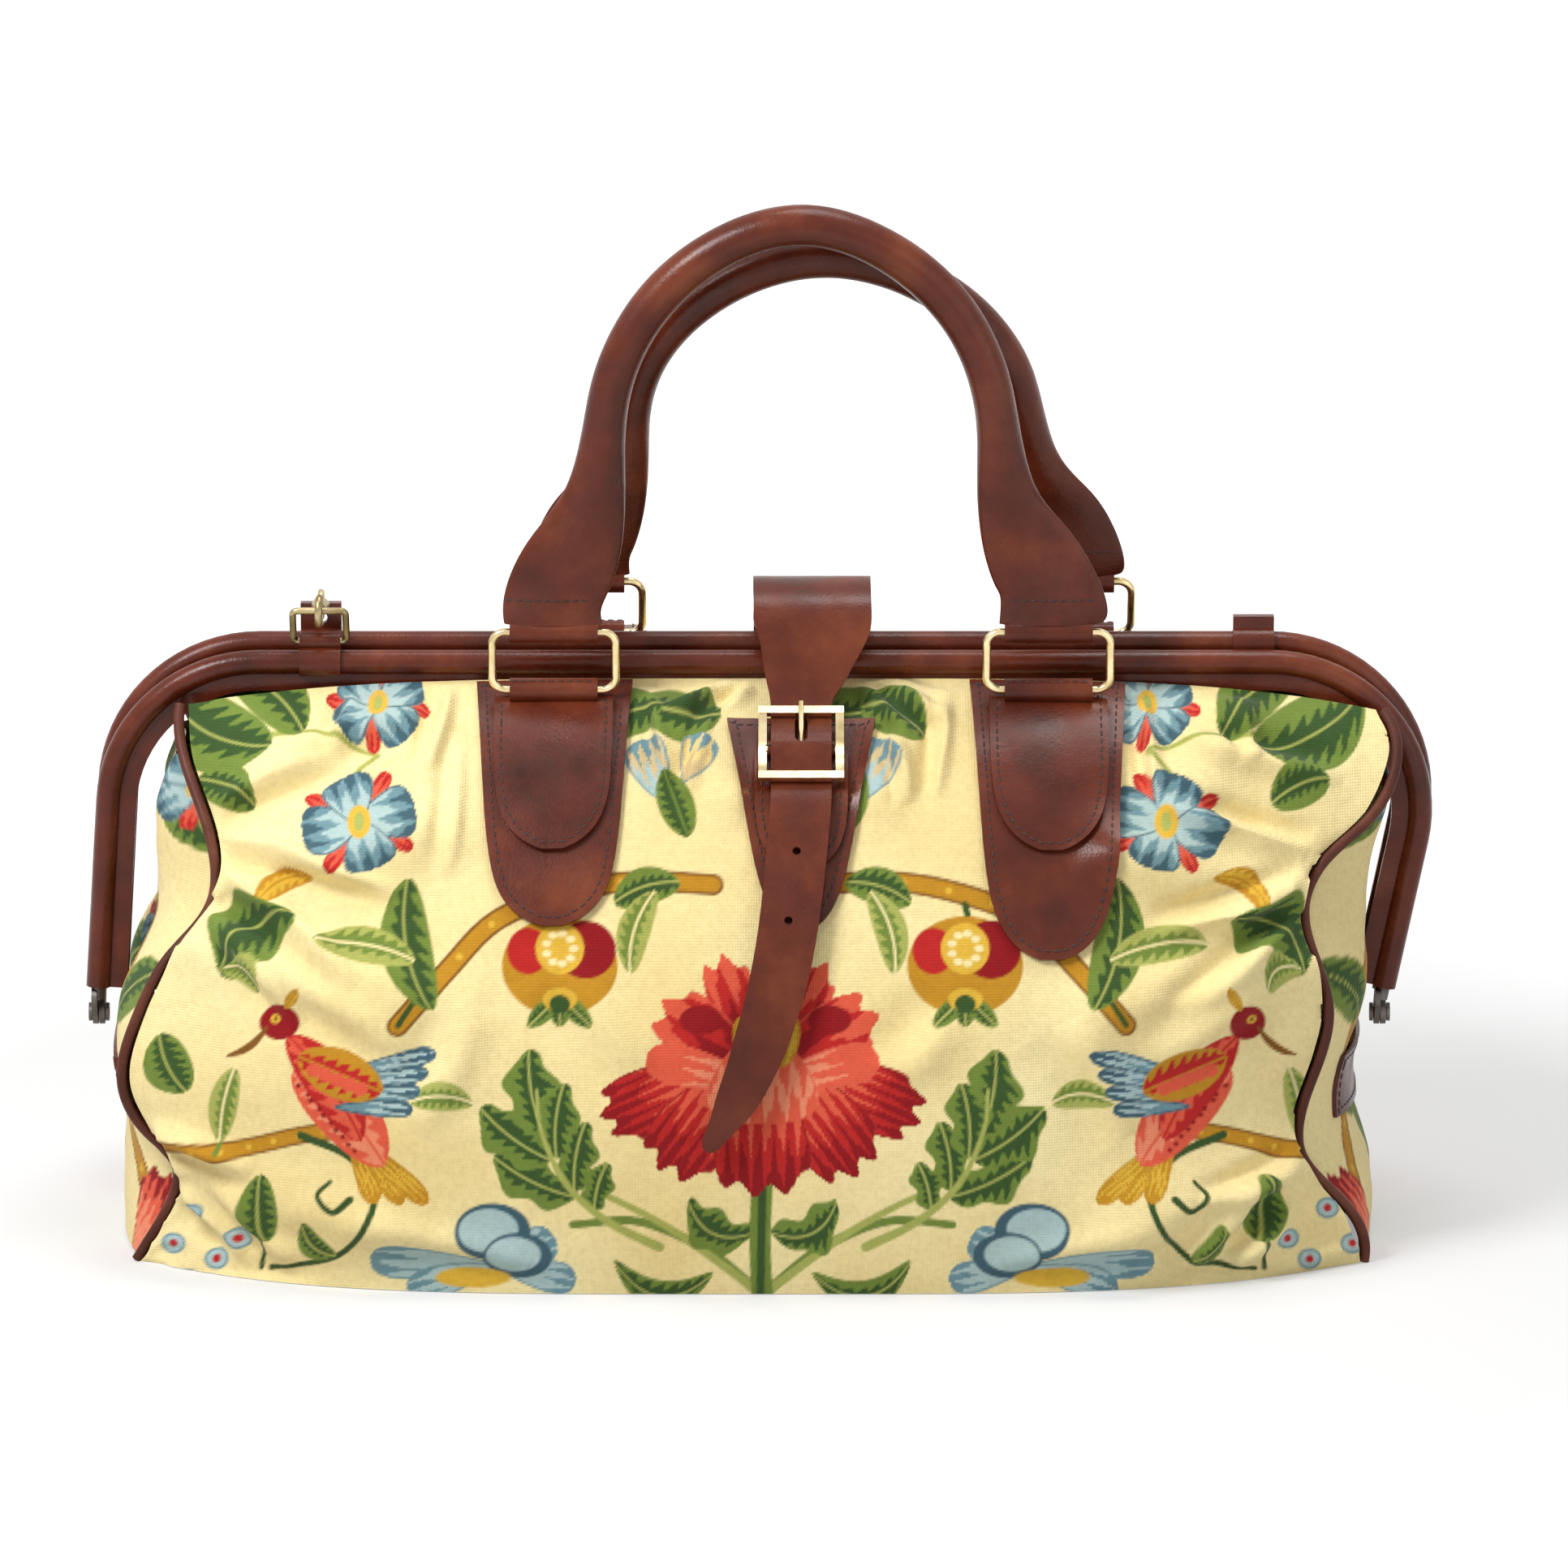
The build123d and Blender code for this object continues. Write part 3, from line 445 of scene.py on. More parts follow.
bird_shares = [
    *[("petal", (-0.30, 0.70), (x, 1.62), 0.36, dry_leaf, 5, 0) for x in (-0.98, -0.62, -1.30)],
    ("leaf", (0.42, -0.10), (-0.75, 1.12), 0.78, 0.06, 0, rosy),
    ("leaf", (0.50, -0.55), (-0.45, 0.80), 0.60, 0.05, 0, ruddy),
    ("petal", (-0.10, -0.02), (-1.42, -0.32), 0.30, feather_tones, 3, 0),
    ("petal", (-0.10, 0.11), (-1.32, -0.08), 0.30, feather_tones, 3, 0),
    ("petal", (-0.10, 0.24), (-1.22, 0.16), 0.30, feather_tones, 3, 0),
    ("petal", (-0.10, 0.37), (-1.12, 0.40), 0.30, feather_tones, 3, 0),
    ("leaf", (0.36, -0.28), (-0.72, 0.18), 0.62, 0, 0, (ochre, red_mid, ochre)),
    *[("disc", (0.16 - 0.15 * step, 0.06 * step - 0.10), 0.10, 0.09, coral) for step in range(5)],
    *[("disc", (0.36 - 0.16 * step, 0.19 * step + 0.10), 0.035, 0.03, red_dark) for step in range(5)],
    *[("disc", (0.24 - 0.15 * step, 0.18 * step + 0.22), 0.03, 0.03, red_dark) for step in range(5)],
    ("disc", (0.62, -0.72), 0.26, 0.23, red_dark),
    ("leaf", (0.78, -0.66), (1.30, -0.28), 0.10, 0.12, 0, (brown, brown, brown)),
    ("leaf", (0.52, -0.90), (0.34, -1.16), 0.14, 0, 0, dry_leaf),
    ("disc", (0.68, -0.76), 0.07, 0.06, gold),
    ("disc", (0.68, -0.76), 0.03, 0.03, brown),
]
acanthus_spine_shares = [(-0.55, 0.42), (0, 0.14), (0.42, -0.26), (0.66, -0.80), (0.70, -1.2)]
acanthus_shares = [
    *[("leaf", root, tip, width, 0.06, 2, deep_leaf) for root, tip, width in (
        ((0.30, -0.10), (1.15, -0.52), 0.46), ((0.55, -0.48), (1.28, -1.02), 0.50),
        ((0.62, -0.72), (0.78, -1.62), 0.52), ((0.32, -0.16), (0.20, -0.88), 0.40),
        ((0.50, -0.50), (0.42, -1.28), 0.42), ((0.12, 0.04), (-0.02, -0.46), 0.30),
    )],
    ("stem", acanthus_spine_shares, 0.10, green_light, 0.7),
]
bell_shares = [
    *[("petal", (0, 0.15), tip, width, (blue_light, blue_light, blue_mid), 4, 0) for tip, width in (
        ((1.55, 0.10), 0.52), ((1.10, 0.46), 0.50), ((-0.95, 0.34), 0.52), ((-0.7, -0.2), 0.6),
    )],
    ("disc", (0.05, -0.28), 0.46, 0.34, blue_dark),
    ("disc", (0.10, -0.30), 0.36, 0.25, blue_light),
    ("disc", (-0.25, 0.02), 0.42, 0.28, blue_dark),
    ("disc", (-0.20, 0), 0.33, 0.21, blue_light),
    ("disc", (0.30, 0.30), 0.46, 0.12, gold),
]


def blossom_shares(turn):
    """The marks of a small blue flower with red sepals, turned by an angle."""
    quarters = [turn + step * math.pi / 2 for step in range(4)]
    between = [angle + math.pi / 4 for angle in quarters]
    sepals = [(1.05 * math.cos(angle), 0.95 * math.sin(angle)) for angle in between]
    petals = [(math.cos(angle), 0.82 * math.sin(angle)) for angle in quarters]
    return [
        *[("petal", (0, 0), tip, 0.34, (coral, coral, red_mid), 3, 0) for tip in sepals],
        *[("petal", (0, 0), tip, 1.15, (blue_light, blue_mid, blue_dark), 4, 0) for tip in petals],
        ("disc", (0, 0), 0.20, 0.28, gold),
        ("disc", (0, 0), 0.09, 0.16, green_light),
    ]


# The panels' print in the photograph's frame, in pixels out from the middle flower and down from the top
branch_lines = [
    (26, [(60, 1088), (150, 1084), (230, 1096), (320, 1130), (380, 1190), (440, 1258)]),
    (22, [(750, 1402), (660, 1412), (560, 1392), (500, 1384)]),
]
stem_lines = [
    (10, green_dark, 0.4, [(560, 1392), (498, 1420), (470, 1470), (510, 1536), (600, 1556)]),
    (9, green_light, 0.5, [(700, 915), (560, 905), (470, 930)]),
    (13, green_mid, 0.3, [(8, 1580), (70, 1530), (150, 1496), (230, 1500)]),
    (11, green_light, 0.4, [(8, 1580), (120, 1500), (240, 1440)]),
    (7, green_dark, 0.3, [(440, 1258), (415, 1210), (424, 1140), (430, 1090)]),
    (6, green_mid, 0.4, [(418, 1196), (470, 1172), (540, 1160)]),
    (8, green_dark, 0, [(245, 1112), (250, 1135), (245, 1150)]),
    (9, green_dark, 0.5, [(500, 1470), (522, 1486), (540, 1466), (524, 1448)]),
    (6, green_dark, 0.4, [(612, 1556), (604, 1500), (608, 1450)]),
    (6, green_mid, 0.4, [(660, 1412), (652, 1360), (640, 1312)]),
    (7, green_light, 0.3, [(470, 930), (500, 960), (492, 1000)]),
]
berry_places = [(722, 1528), (690, 1484), (668, 1546), (744, 1482), (704, 1572), (640, 1520)]
berry_rings = [(15, 13, blue_mid), (12, 10, blue_light), (5, 5, red_mid)]
leaf_lines = [
    ((610, 1120), (548, 1080), 34, 0.25, 0, dry_leaf),
    ((400, 1240), (430, 1080), 62, 0.10, 0, deep_leaf),
    ((420, 1180), (540, 1160), 44, -0.08, 0, pale_leaf),
    ((180, 1110), (100, 1085), 46, 0.10, 0, deep_leaf),
    ((130, 1095), (160, 1195), 40, -0.1, 0, pale_leaf),
    ((600, 920), (735, 850), 96, 0.14, 0, deep_leaf),
    ((560, 905), (650, 830), 70, -0.12, 0, deep_leaf),
    ((690, 960), (620, 990), 56, 0.1, 0, deep_leaf),
    ((50, 880), (150, 872), 66, 0.05, 0, deep_leaf),
    ((200, 905), (120, 870), 60, 0.12, 0, deep_leaf),
    ((660, 1196), (566, 1130), 84, 0.24, 2, deep_leaf),
    ((656, 1190), (612, 1218), 40, 0.3, 0, pale_leaf),
    ((700, 1340), (735, 1270), 60, 0.1, 0, deep_leaf),
    ((660, 1400), (640, 1310), 36, 0.05, 0, pale_leaf),
    ((425, 1350), (350, 1352), 36, 0.12, 0, pale_leaf),
    ((598, 1520), (610, 1440), 44, 0.1, 0, deep_leaf),
    ((520, 1540), (560, 1500), 30, 0.2, 0, deep_leaf),
    ((10, 1510), (90, 1470), 52, 0.26, 2, deep_leaf),
    ((60, 1560), (180, 1545), 40, 0.3, 0, deep_leaf),
]
acanthus_place, acanthus_size = (190, 1478), 118
blossom_places = [((490, 1012), 72, {-1: -0.3, 1: 0.3}), ((470, 868), 62, {-1: 0.9, 1: 0.9})]
bud_petals = [
    ((95, 965), (70, 905), 60, (parchment, cream_shade, blue_mid), 4),
    ((120, 985), (150, 912), 70, (blue_light, parchment, blue_mid), 5),
]
bud_root, bud_tip, bud_width = (120, 950), (90, 1030), 44
fruit_place, fruit_size = (245, 1186), 70
bird_place, bird_size = (528, 1322), 94
bell_place, bell_size = (322, 1536), 100
middle_stems = [
    (26, green_mid, [(0, 1440), (-3, 1520), (0, 1600)]),
    (10, green_dark, [(0, 1450), (-3, 1600)]),
]
carnation_place, carnation_size = (0, 1318), 176

# The gussets' print, in pixels across and down a plain sheet, and where the gusset's foot lies on it
end_middle, end_foot = 230, 690
end_branch, end_branch_width = [(60, 640), (120, 520), (90, 380), (190, 240)], 24
end_leaf_bend = 0.12
end_leaves = [
    ((120, 520), (250, 460), 80), ((90, 400), (20, 320), 70), ((170, 270), (280, 290), 70),
    ((240, 620), (180, 530), 66), ((330, 180), (280, 90), 70), ((60, 180), (120, 100), 64),
    ((360, 420), (280, 360), 76), ((300, 520), (370, 580), 60),
]
end_blossoms = [((260, 340), 66, 0.4), ((110, 110), 58, 0.9), ((390, 590), 62, 0.1)]
end_fruit_place, end_fruit_size = (200, 480), 56
end_petals = [((330, 700), (360, 560), 150), ((60, 700), (30, 590), 130)]
end_petal_streaks, end_petal_scallops = 9, 5


class Print:
    """Fields of colour laid over a grid of picture coordinates, one over another."""

    def __init__(self, across, down):
        self.shape = across.shape
        self.x = across.ravel()
        self.y = down.ravel()
        grain = crumple(self.x, self.y, grain_size, grain_waves)[:, None]
        self.colours = cream + (cream_shade - cream) * np.clip(grain_share * (1 + grain), 0, 1)
        self.near = np.arange(len(self.x))

    def picture(self):
        """The colours, in the grid's shape."""
        return self.colours.reshape(*self.shape, 3)

    def window(self, points, margin):
        """Turns to the part of the cloth round some points, and gives its coordinates."""
        points = np.array(points, float)
        left, top = points.min(axis=0) - margin
        right, bottom = points.max(axis=0) + margin
        inside = (self.x > left) & (self.x < right) & (self.y > top) & (self.y < bottom)
        self.near = np.nonzero(inside)[0]
        return self.x[self.near], self.y[self.near]

    def lay(self, inside, tone):
        """Lays a tone where inside is positive, with a soft edge."""
        cover = np.clip(inside / soft_edge + 0.5, 0, 1)[:, None]
        self.colours[self.near] = self.colours[self.near] * (1 - cover) + np.asarray(tone) * cover

    def stem(self, points, width, tone, taper=0):
        """A stem along a smooth curve."""
        curve = smooth_curve(points, stroke_steps)
        x, y = self.window(curve, width)
        inside = np.full(x.shape, float(nowhere))
        for step, (a, b) in enumerate(zip(curve, curve[1:])):
            run = b - a
            share = np.clip(((x - a[0]) * run[0] + (y - a[1]) * run[1]) / (run @ run), 0, 1)
            away = np.hypot(x - a[0] - share * run[0], y - a[1] - share * run[1])
            half = width / 2 * (1 - taper * step / len(curve))
            inside = np.maximum(inside, half - away)
        self.lay(inside, tone)

    def branch(self, points, width):
        """A knotted branch with pale spots."""
        self.stem(points, width, brown)
        self.stem(points, width * branch_core_share, ochre)
        radius = width * branch_spot_share
        for point in smooth_curve(points, branch_spots)[1:-1]:
            self.disc(point, radius, radius, gold)

    def axes(self, base, tip, width, bend):
        """Shares along and distances across a bent line from base to tip."""
        base, tip = np.array(base, float), np.array(tip, float)
        run = tip - base
        length = np.linalg.norm(run)
        x, y = self.window([base, tip], width + 2 * abs(bend) * length)
        along = ((x - base[0]) * run[0] + (y - base[1]) * run[1]) / length
        across = ((y - base[1]) * run[0] - (x - base[0]) * run[1]) / length
        share = along / length
        across = across - bend * length * 4 * share * (1 - share)
        return share, across, length

    def leaf(self, base, tip, width, bend, lobes, tones):
        """A leaf with a darker heart and a pale rib, its edge in lobes if asked."""
        share, across, _ = self.axes(base, tip, width, bend)
        body = np.clip(share * (1 - share), 0, 1) ** leaf_fullness * leaf_swell_share * width / 2
        if lobes:
            wave = np.sin(share * lobes * 2 * math.pi + np.sign(across) * lobe_shift)
            body = body * (1 + lobe_depth_share * wave)
        live = (share > 0) & (share < 1)
        self.lay(np.where(live, body - np.abs(across), nowhere), tones[0])
        veins = 1 + vein_depth_share * np.sin(share * vein_turns + across * vein_slant)
        heart = body * np.where(across > 0, *heart_shares) * veins
        self.lay(np.where(live, heart - np.abs(across), nowhere), tones[1])
        self.lay(np.where(live, rib_half_width - np.abs(across), nowhere), tones[2])

    def petal(self, base, tip, width, tones, streaks, scallops=0):
        """A petal that deepens from its root to its edge in fine streaks."""
        share, across, length = self.axes(base, tip, width, 0)
        rim = 1 + scallop_depth_share * np.sin(across / width * scallops * 2 * math.pi)
        end = np.clip(1 - np.clip(share / rim, 0, 1) ** petal_bluntness, 0, 1) ** 0.5
        body = width / 2 * np.clip(share, 0, 1) ** petal_opening * end
        inside = np.where((share > 0) & (share < rim), body - np.abs(across), nowhere)
        self.lay(inside, tones[0])
        comb = sum(depth * np.sin(across / width * streaks * turns) for depth, turns in streak_shares)
        for start, tone in zip(tone_start_shares, tones[1:]):
            past = share + comb - start
            blend = np.minimum(inside, past * length * tone_blend_share)
            self.lay(np.where(past > 0, blend, nowhere), tone)
        self.lay(np.minimum(inside, rim_width - inside), tones[2])

    def disc(self, centre, across, down, tone):
        """An oval of one tone."""
        x, y = self.window([centre], max(across, down) + soft_edge)
        away = np.hypot((x - centre[0]) / across, (y - centre[1]) / down)
        self.lay((1 - away) * min(across, down), tone)

    def motif(self, marks, place, size, side=1):
        """Lays the marks of a motif, mirrored where its side is negative."""
        def at(share):
            return (place[0] + side * share[0] * size, place[1] + share[1] * size)
        for kind, *mark in marks:
            if kind == "disc":
                centre, across, down, tone = mark
                self.disc(at(centre), across * size, down * size, tone)
            elif kind == "petal":
                root, tip, width, tones, streaks, scallops = mark
                self.petal(at(root), at(tip), width * size, tones, streaks, scallops)
            elif kind == "leaf":
                root, tip, width, bend, lobes, tones = mark
                self.leaf(at(root), at(tip), width * size, bend * side, lobes, tones)
            else:
                points, width, tone, taper = mark
                self.stem([at(point) for point in points], width * size, tone, taper)


def print_half_garden(cloth, side):
    """One half of a panel's print: branches with a bird and fruit, leaves and blossoms."""
    def at(point):
        return (photo_middle_x + side * point[0], point[1])
    for width, points in branch_lines:
        cloth.branch([at(point) for point in points], width)
    for width, tone, taper, points in stem_lines:
        cloth.stem([at(point) for point in points], width, tone, taper)
    for place in berry_places:
        for across, down, tone in berry_rings:
            cloth.disc(at(place), across, down, tone)
    for root, tip, width, bend, lobes, tones in leaf_lines:
        cloth.leaf(at(root), at(tip), width, bend * side, lobes, tones)
    cloth.motif(acanthus_shares, at(acanthus_place), acanthus_size, side)
    for place, size, turns in blossom_places:
        cloth.motif(blossom_shares(turns[side]), at(place), size)
    for root, tip, width, tones, streaks in bud_petals:
        cloth.petal(at(root), at(tip), width, tones, streaks)
    cloth.leaf(at(bud_root), at(bud_tip), bud_width, 0, 0, bud_green)
    cloth.motif(fruit_shares, at(fruit_place), fruit_size)
    cloth.motif(bird_shares, at(bird_place), bird_size, side)
    cloth.motif(bell_shares, at(bell_place), bell_size, side)


def print_garden(across, down):
    """The print of a panel: a middle flower with birds, fruit and leaves to each side."""
    cloth = Print(across, down)
    for side in (-1, 1):
        print_half_garden(cloth, side)
    for width, tone, points in middle_stems:
        cloth.stem([(photo_middle_x + x, y) for x, y in points], width, tone)
    x, y = carnation_place
    cloth.motif(carnation_shares, (photo_middle_x + x, y), carnation_size)
    return cloth.picture()


def print_end(across, down):
    """The print of a gusset: the same leaves and blossoms, cut by the seams."""
    cloth = Print(across, down)
    cloth.branch(end_branch, end_branch_width)
    for root, tip, width in end_leaves:
        cloth.leaf(root, tip, width, end_leaf_bend, 0, deep_leaf)
    for place, size, turn in end_blossoms:
        cloth.motif(blossom_shares(turn), place, size)
    cloth.motif(fruit_shares, end_fruit_place, end_fruit_size)
    for root, tip, width in end_petals:
        cloth.petal(root, tip, width, flame, end_petal_streaks, end_petal_scallops)
    return cloth.picture()


# Materials

def new_material(name):
    """A node material with one shader to fill in."""
    material = bpy.data.materials.new(name)
    material.use_nodes = True
    tree = material.node_tree
    return material, tree, tree.nodes["Principled BSDF"]


def link(tree, source, output, target, socket):
    """Joins an output of one node to an input of another."""
    tree.links.new(source.outputs[output], target.inputs[socket])


def set_values(node, values):
    """Sets the plain inputs of a node."""
    for socket, value in values.items():
        node.inputs[socket].default_value = value


def noise_node(tree, scale, detail=4.0, rough=0.55):
    """Noise over the object's own coordinates."""
    place = tree.nodes.new("ShaderNodeTexCoord")
    noise = tree.nodes.new("ShaderNodeTexNoise")
    set_values(noise, {"Scale": scale, "Detail": detail, "Roughness": rough})
    link(tree, place, "Object", noise, "Vector")
    return noise


def ramp_node(tree, source, stops, output="Fac"):
    """A colour ramp of (place, colour) stops over a source."""
    ramp = tree.nodes.new("ShaderNodeValToRGB")
    while len(ramp.color_ramp.elements) < len(stops):
        ramp.color_ramp.elements.new(0.5)
    for element, (place, tone) in zip(ramp.color_ramp.elements, stops):
        element.position = place
        element.color = (*tone, 1)
    link(tree, source, output, ramp, "Fac")
    return ramp


def bump_chain(tree, shader, layers):
    """Bump layers of (height node, output, strength, distance), one over another."""
    last = None
    for node, output, strength, distance in layers:
        bump = tree.nodes.new("ShaderNodeBump")
        set_values(bump, {"Strength": strength, "Distance": distance})
        link(tree, node, output, bump, "Height")
        if last is not None:
            link(tree, last, "Normal", bump, "Normal")
        last = bump
    link(tree, last, "Normal", shader, "Normal")


def cloth_material():
    """Printed slubby cotton: the print's colours, a plain weave and a little fuzz."""
    material, tree, shader = new_material("printed_cloth")
    tint = tree.nodes.new("ShaderNodeAttribute")
    tint.attribute_name = "print"
    slub = noise_node(tree, slub_scale, 3)
    soil = noise_node(tree, soil_scale, 5)
    shade = ramp_node(tree, slub, [(0.30, (0.91, 0.90, 0.87)), (0.60, (1, 1, 1))])
    stain = ramp_node(tree, soil, [(0.33, (0.93, 0.89, 0.80)), (0.58, (1, 1, 1))])
    mixed = tint
    for layer in (shade, stain):
        mix = tree.nodes.new("ShaderNodeMixRGB")
        mix.blend_type = "MULTIPLY"
        set_values(mix, {"Fac": 1})
        link(tree, mixed, "Color", mix, "Color1")
        link(tree, layer, "Color", mix, "Color2")
        mixed = mix
    link(tree, mixed, "Color", shader, "Base Color")
    waves = []
    place = tree.nodes.new("ShaderNodeTexCoord")
    for direction in ("X", "Z"):
        wave = tree.nodes.new("ShaderNodeTexWave")
        wave.bands_direction = direction
        set_values(wave, {"Scale": weave_scale, "Distortion": 1.2, "Detail": 1})
        link(tree, place, "Object", wave, "Vector")
        waves.append(wave)
    set_values(shader, {
        "Roughness": 0.82, "Specular IOR Level": 0.22, "Sheen Weight": 0.12, "Sheen Roughness": 0.5,
    })
    weave = [(wave, "Fac", 0.25, weave_depth) for wave in waves]
    bump_chain(tree, shader, [*weave, (slub, "Fac", 0.3, slub_depth)])
    return material


def leather_material(name, deep, mid, high, roughness, coat):
    """Polished cowhide: uneven dye, fine pores and creases, with a waxed coat."""
    material, tree, shader = new_material(name)
    cloud = noise_node(tree, dye_scale, 6, 0.6)
    dye = ramp_node(tree, cloud, [(0.28, deep), (0.52, mid), (0.76, high)])
    link(tree, dye, "Color", shader, "Base Color")
    wear = noise_node(tree, wear_scale, 4)
    gloss = ramp_node(tree, wear, [(0.3, (roughness - 0.08,) * 3), (0.7, (roughness + 0.14,) * 3)])
    link(tree, gloss, "Color", shader, "Roughness")
    set_values(shader, {"Specular IOR Level": 0.20, "Coat Weight": coat, "Coat Roughness": 0.22})
    pores = tree.nodes.new("ShaderNodeTexVoronoi")
    set_values(pores, {"Scale": pore_scale})
    place = tree.nodes.new("ShaderNodeTexCoord")
    link(tree, place, "Object", pores, "Vector")
    creases = noise_node(tree, leather_crease_scale, 5, 0.65)
    grain = [(pores, "Distance", 0.18, pore_depth), (creases, "Fac", 0.25, leather_crease_depth)]
    bump_chain(tree, shader, grain)
    return material


def metal_material(name, bright, dull, roughness):
    """Metal with a soft tarnish and fine rubbing marks."""
    material, tree, shader = new_material(name)
    tarnish = noise_node(tree, tarnish_scale, 5)
    tone = ramp_node(tree, tarnish, [(0.35, dull), (0.60, bright)])
    link(tree, tone, "Color", shader, "Base Color")
    set_values(shader, {"Metallic": 1})
    rub = noise_node(tree, rub_scale, 3)
    gloss = ramp_node(tree, rub, [(0.3, (roughness,) * 3), (0.7, (roughness + 0.12,) * 3)])
    link(tree, gloss, "Color", shader, "Roughness")
    bump_chain(tree, shader, [(rub, "Fac", 0.06, rub_depth)])
    return material


def thread_material():
    """Waxed dark thread."""
    material, tree, shader = new_material("thread")
    twist = noise_node(tree, twist_scale, 2)
    tone = ramp_node(tree, twist, [(0.3, (0.012, 0.006, 0.005)), (0.7, (0.05, 0.02, 0.014))])
    link(tree, tone, "Color", shader, "Base Color")
    set_values(shader, {"Roughness": 0.6})
    return material


def board_material():
    """Pressed fibre board."""
    material, tree, shader = new_material("fibre_board")
    fleck = noise_node(tree, fleck_scale, 6)
    tone = ramp_node(tree, fleck, [(0.3, (0.10, 0.07, 0.04)), (0.7, (0.22, 0.16, 0.10))])
    link(tree, tone, "Color", shader, "Base Color")
    set_values(shader, {"Roughness": 0.9})
    return material


cloth = cloth_material()
leather = leather_material(
    "waxed_leather", (0.042, 0.007, 0.003), (0.112, 0.019, 0.007), (0.21, 0.048, 0.016), 0.28, 0.12
)
piping_leather = leather_material(
    "piping_leather", (0.040, 0.010, 0.006), (0.10, 0.026, 0.014), (0.20, 0.07, 0.035), 0.5, 0.02
)
brass = metal_material("polished_brass", (0.86, 0.71, 0.42), (0.58, 0.44, 0.21), 0.16)
old_brass = metal_material("aged_brass", (0.55, 0.45, 0.25), (0.26, 0.20, 0.10), 0.30)
steel = metal_material("dull_steel", (0.16, 0.14, 0.13), (0.07, 0.06, 0.055), 0.42)
thread = thread_material()
board = board_material()
slot_materials = {
    "cloth": cloth, "leather": leather, "piping_leather": piping_leather, "brass": brass,
    "old_brass": old_brass, "steel": steel, "board": board,
}


def dress_nodes():
    """Gives each solid of the frame the finish of its slot."""
    for entry in frame["record"]["subparts"]:
        node = nodes[entry["node"]]
        node.data.materials.clear()
        node.data.materials.append(slot_materials[entry["material_slot"]])


# Cloth

def cloth_pieces(node, names, grid, face_sign, colours, axis):
    """A dressed cloth panel that stands for its solid, in as many pieces side by side as it has names."""
    normal, turned = outward_normals(grid, axis, face_sign)
    cuts = np.linspace(0, grid.shape[1] - 1, len(names) + 1).astype(int)
    pieces = []
    for name, start, end in zip(names, cuts, cuts[1:]):
        part = slice(start, end + 1)
        piece = grid_mesh(name, grid[:, part], normal[:, part], not turned)
        paint(piece, colours[:, part])
        piece.data.materials.append(cloth)
        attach(piece, "bag")
        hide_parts(node)
        pieces.append(piece)
    return pieces


def fold_heights(across, down, windows):
    """Drag lines and puckers of a panel, each a ridge with a hollow beside it, none under the leather."""
    total = np.zeros_like(across)
    for x1, y1, x2, y2, width, height in panel_folds:
        run = np.array([x2 - x1, y2 - y1], float)
        length = np.linalg.norm(run)
        share = ((across - x1) * run[0] + (down - y1) * run[1]) / length**2
        away = ((down - y1) * run[0] - (across - x1) * run[1]) / length
        away = away + fold_bow * length * share * (1 - share)
        fade = np.clip(share * (1 - share) * 4, 0, 1)
        hollow = np.exp(-((away / width - hollow_place_share) ** 2))
        ridge = np.exp(-((away / width) ** 2)) - hollow_share * hollow
        total += fold_height_scale * height * fade * ridge
    for left, top, right, bottom in windows:
        outside = np.maximum.reduce([left - across, across - right, top - down, down - bottom])
        total *= np.clip(outside / leather_margin, 0, 1)
    return total


def wrinkled(grid, face_sign, axis, depth, fine, folds=0):
    """A grid with soft wrinkles, deeper near the seams."""
    normal, _ = outward_normals(grid, axis, face_sign)
    rows, columns = grid.shape[:2]
    share = np.linspace(-1, 1, columns)[None, :]
    down = np.linspace(0, 1, rows)[:, None]
    side_fade = np.clip((1 - np.abs(share)) / side_fade_share, 0, 1)
    end_fade = np.clip(np.minimum(down, 1 - down) / end_fade_share, 0, 1)
    near = middle_wrinkle_share + (1 - middle_wrinkle_share) * np.abs(share) ** 3
    u, v = grid[..., 1 - axis], grid[..., 2]
    waves = depth * near * crumple(u, v, wrinkle_size, wrinkle_waves)
    waves = waves + fine * crumple(u, v, crease_size, crease_waves)
    return grid + normal * ((waves + folds) * np.minimum(side_fade, end_fade))[..., None]


def picture_place(grid, face):
    """Where a panel's points lie in the photograph's frame, the rear seen from behind."""
    across = photo_middle_x - face * grid[..., 0] / pixel_size
    toward = front_reach - face * grid[..., 1]
    rise = grid[..., 2] * math.cos(view_elevation) + toward * math.sin(view_elevation)
    return across, photo_base_y - rise / pixel_size


def make_panels():
    """The front and rear cloth."""
    for name, (rows, columns, halves) in panel_grids.items():
        grid, face = panel_grid(name, rows, columns)
        across, down = picture_place(grid, face)
        colours = print_garden(across, down)
        folds = fold_heights(across, down, leather_windows[name])
        names = [f"{name}_{half}_cloth" for half in halves]
        shaped = wrinkled(grid, face, 1, panel_wrinkle_depth, panel_crease_depth, folds)
        pieces = cloth_pieces(f"{name}_panel", names, shaped, face, colours, 1)


def make_gussets():
    """The two cloth ends."""
    for name in ("left", "right"):
        grid, side = gusset_grid(name, gusset_rows, gusset_columns)
        across = end_middle + grid[..., 1] / pixel_size
        down = end_foot - grid[..., 2] / pixel_size
        colours = print_end(across, down)
        shaped = wrinkled(grid, side, 0, gusset_wrinkle_depth, gusset_crease_depth)
        pieces = cloth_pieces(f"{name}_gusset", [f"{name}_end_cloth"], shaped, side, colours, 0)


# Stitching

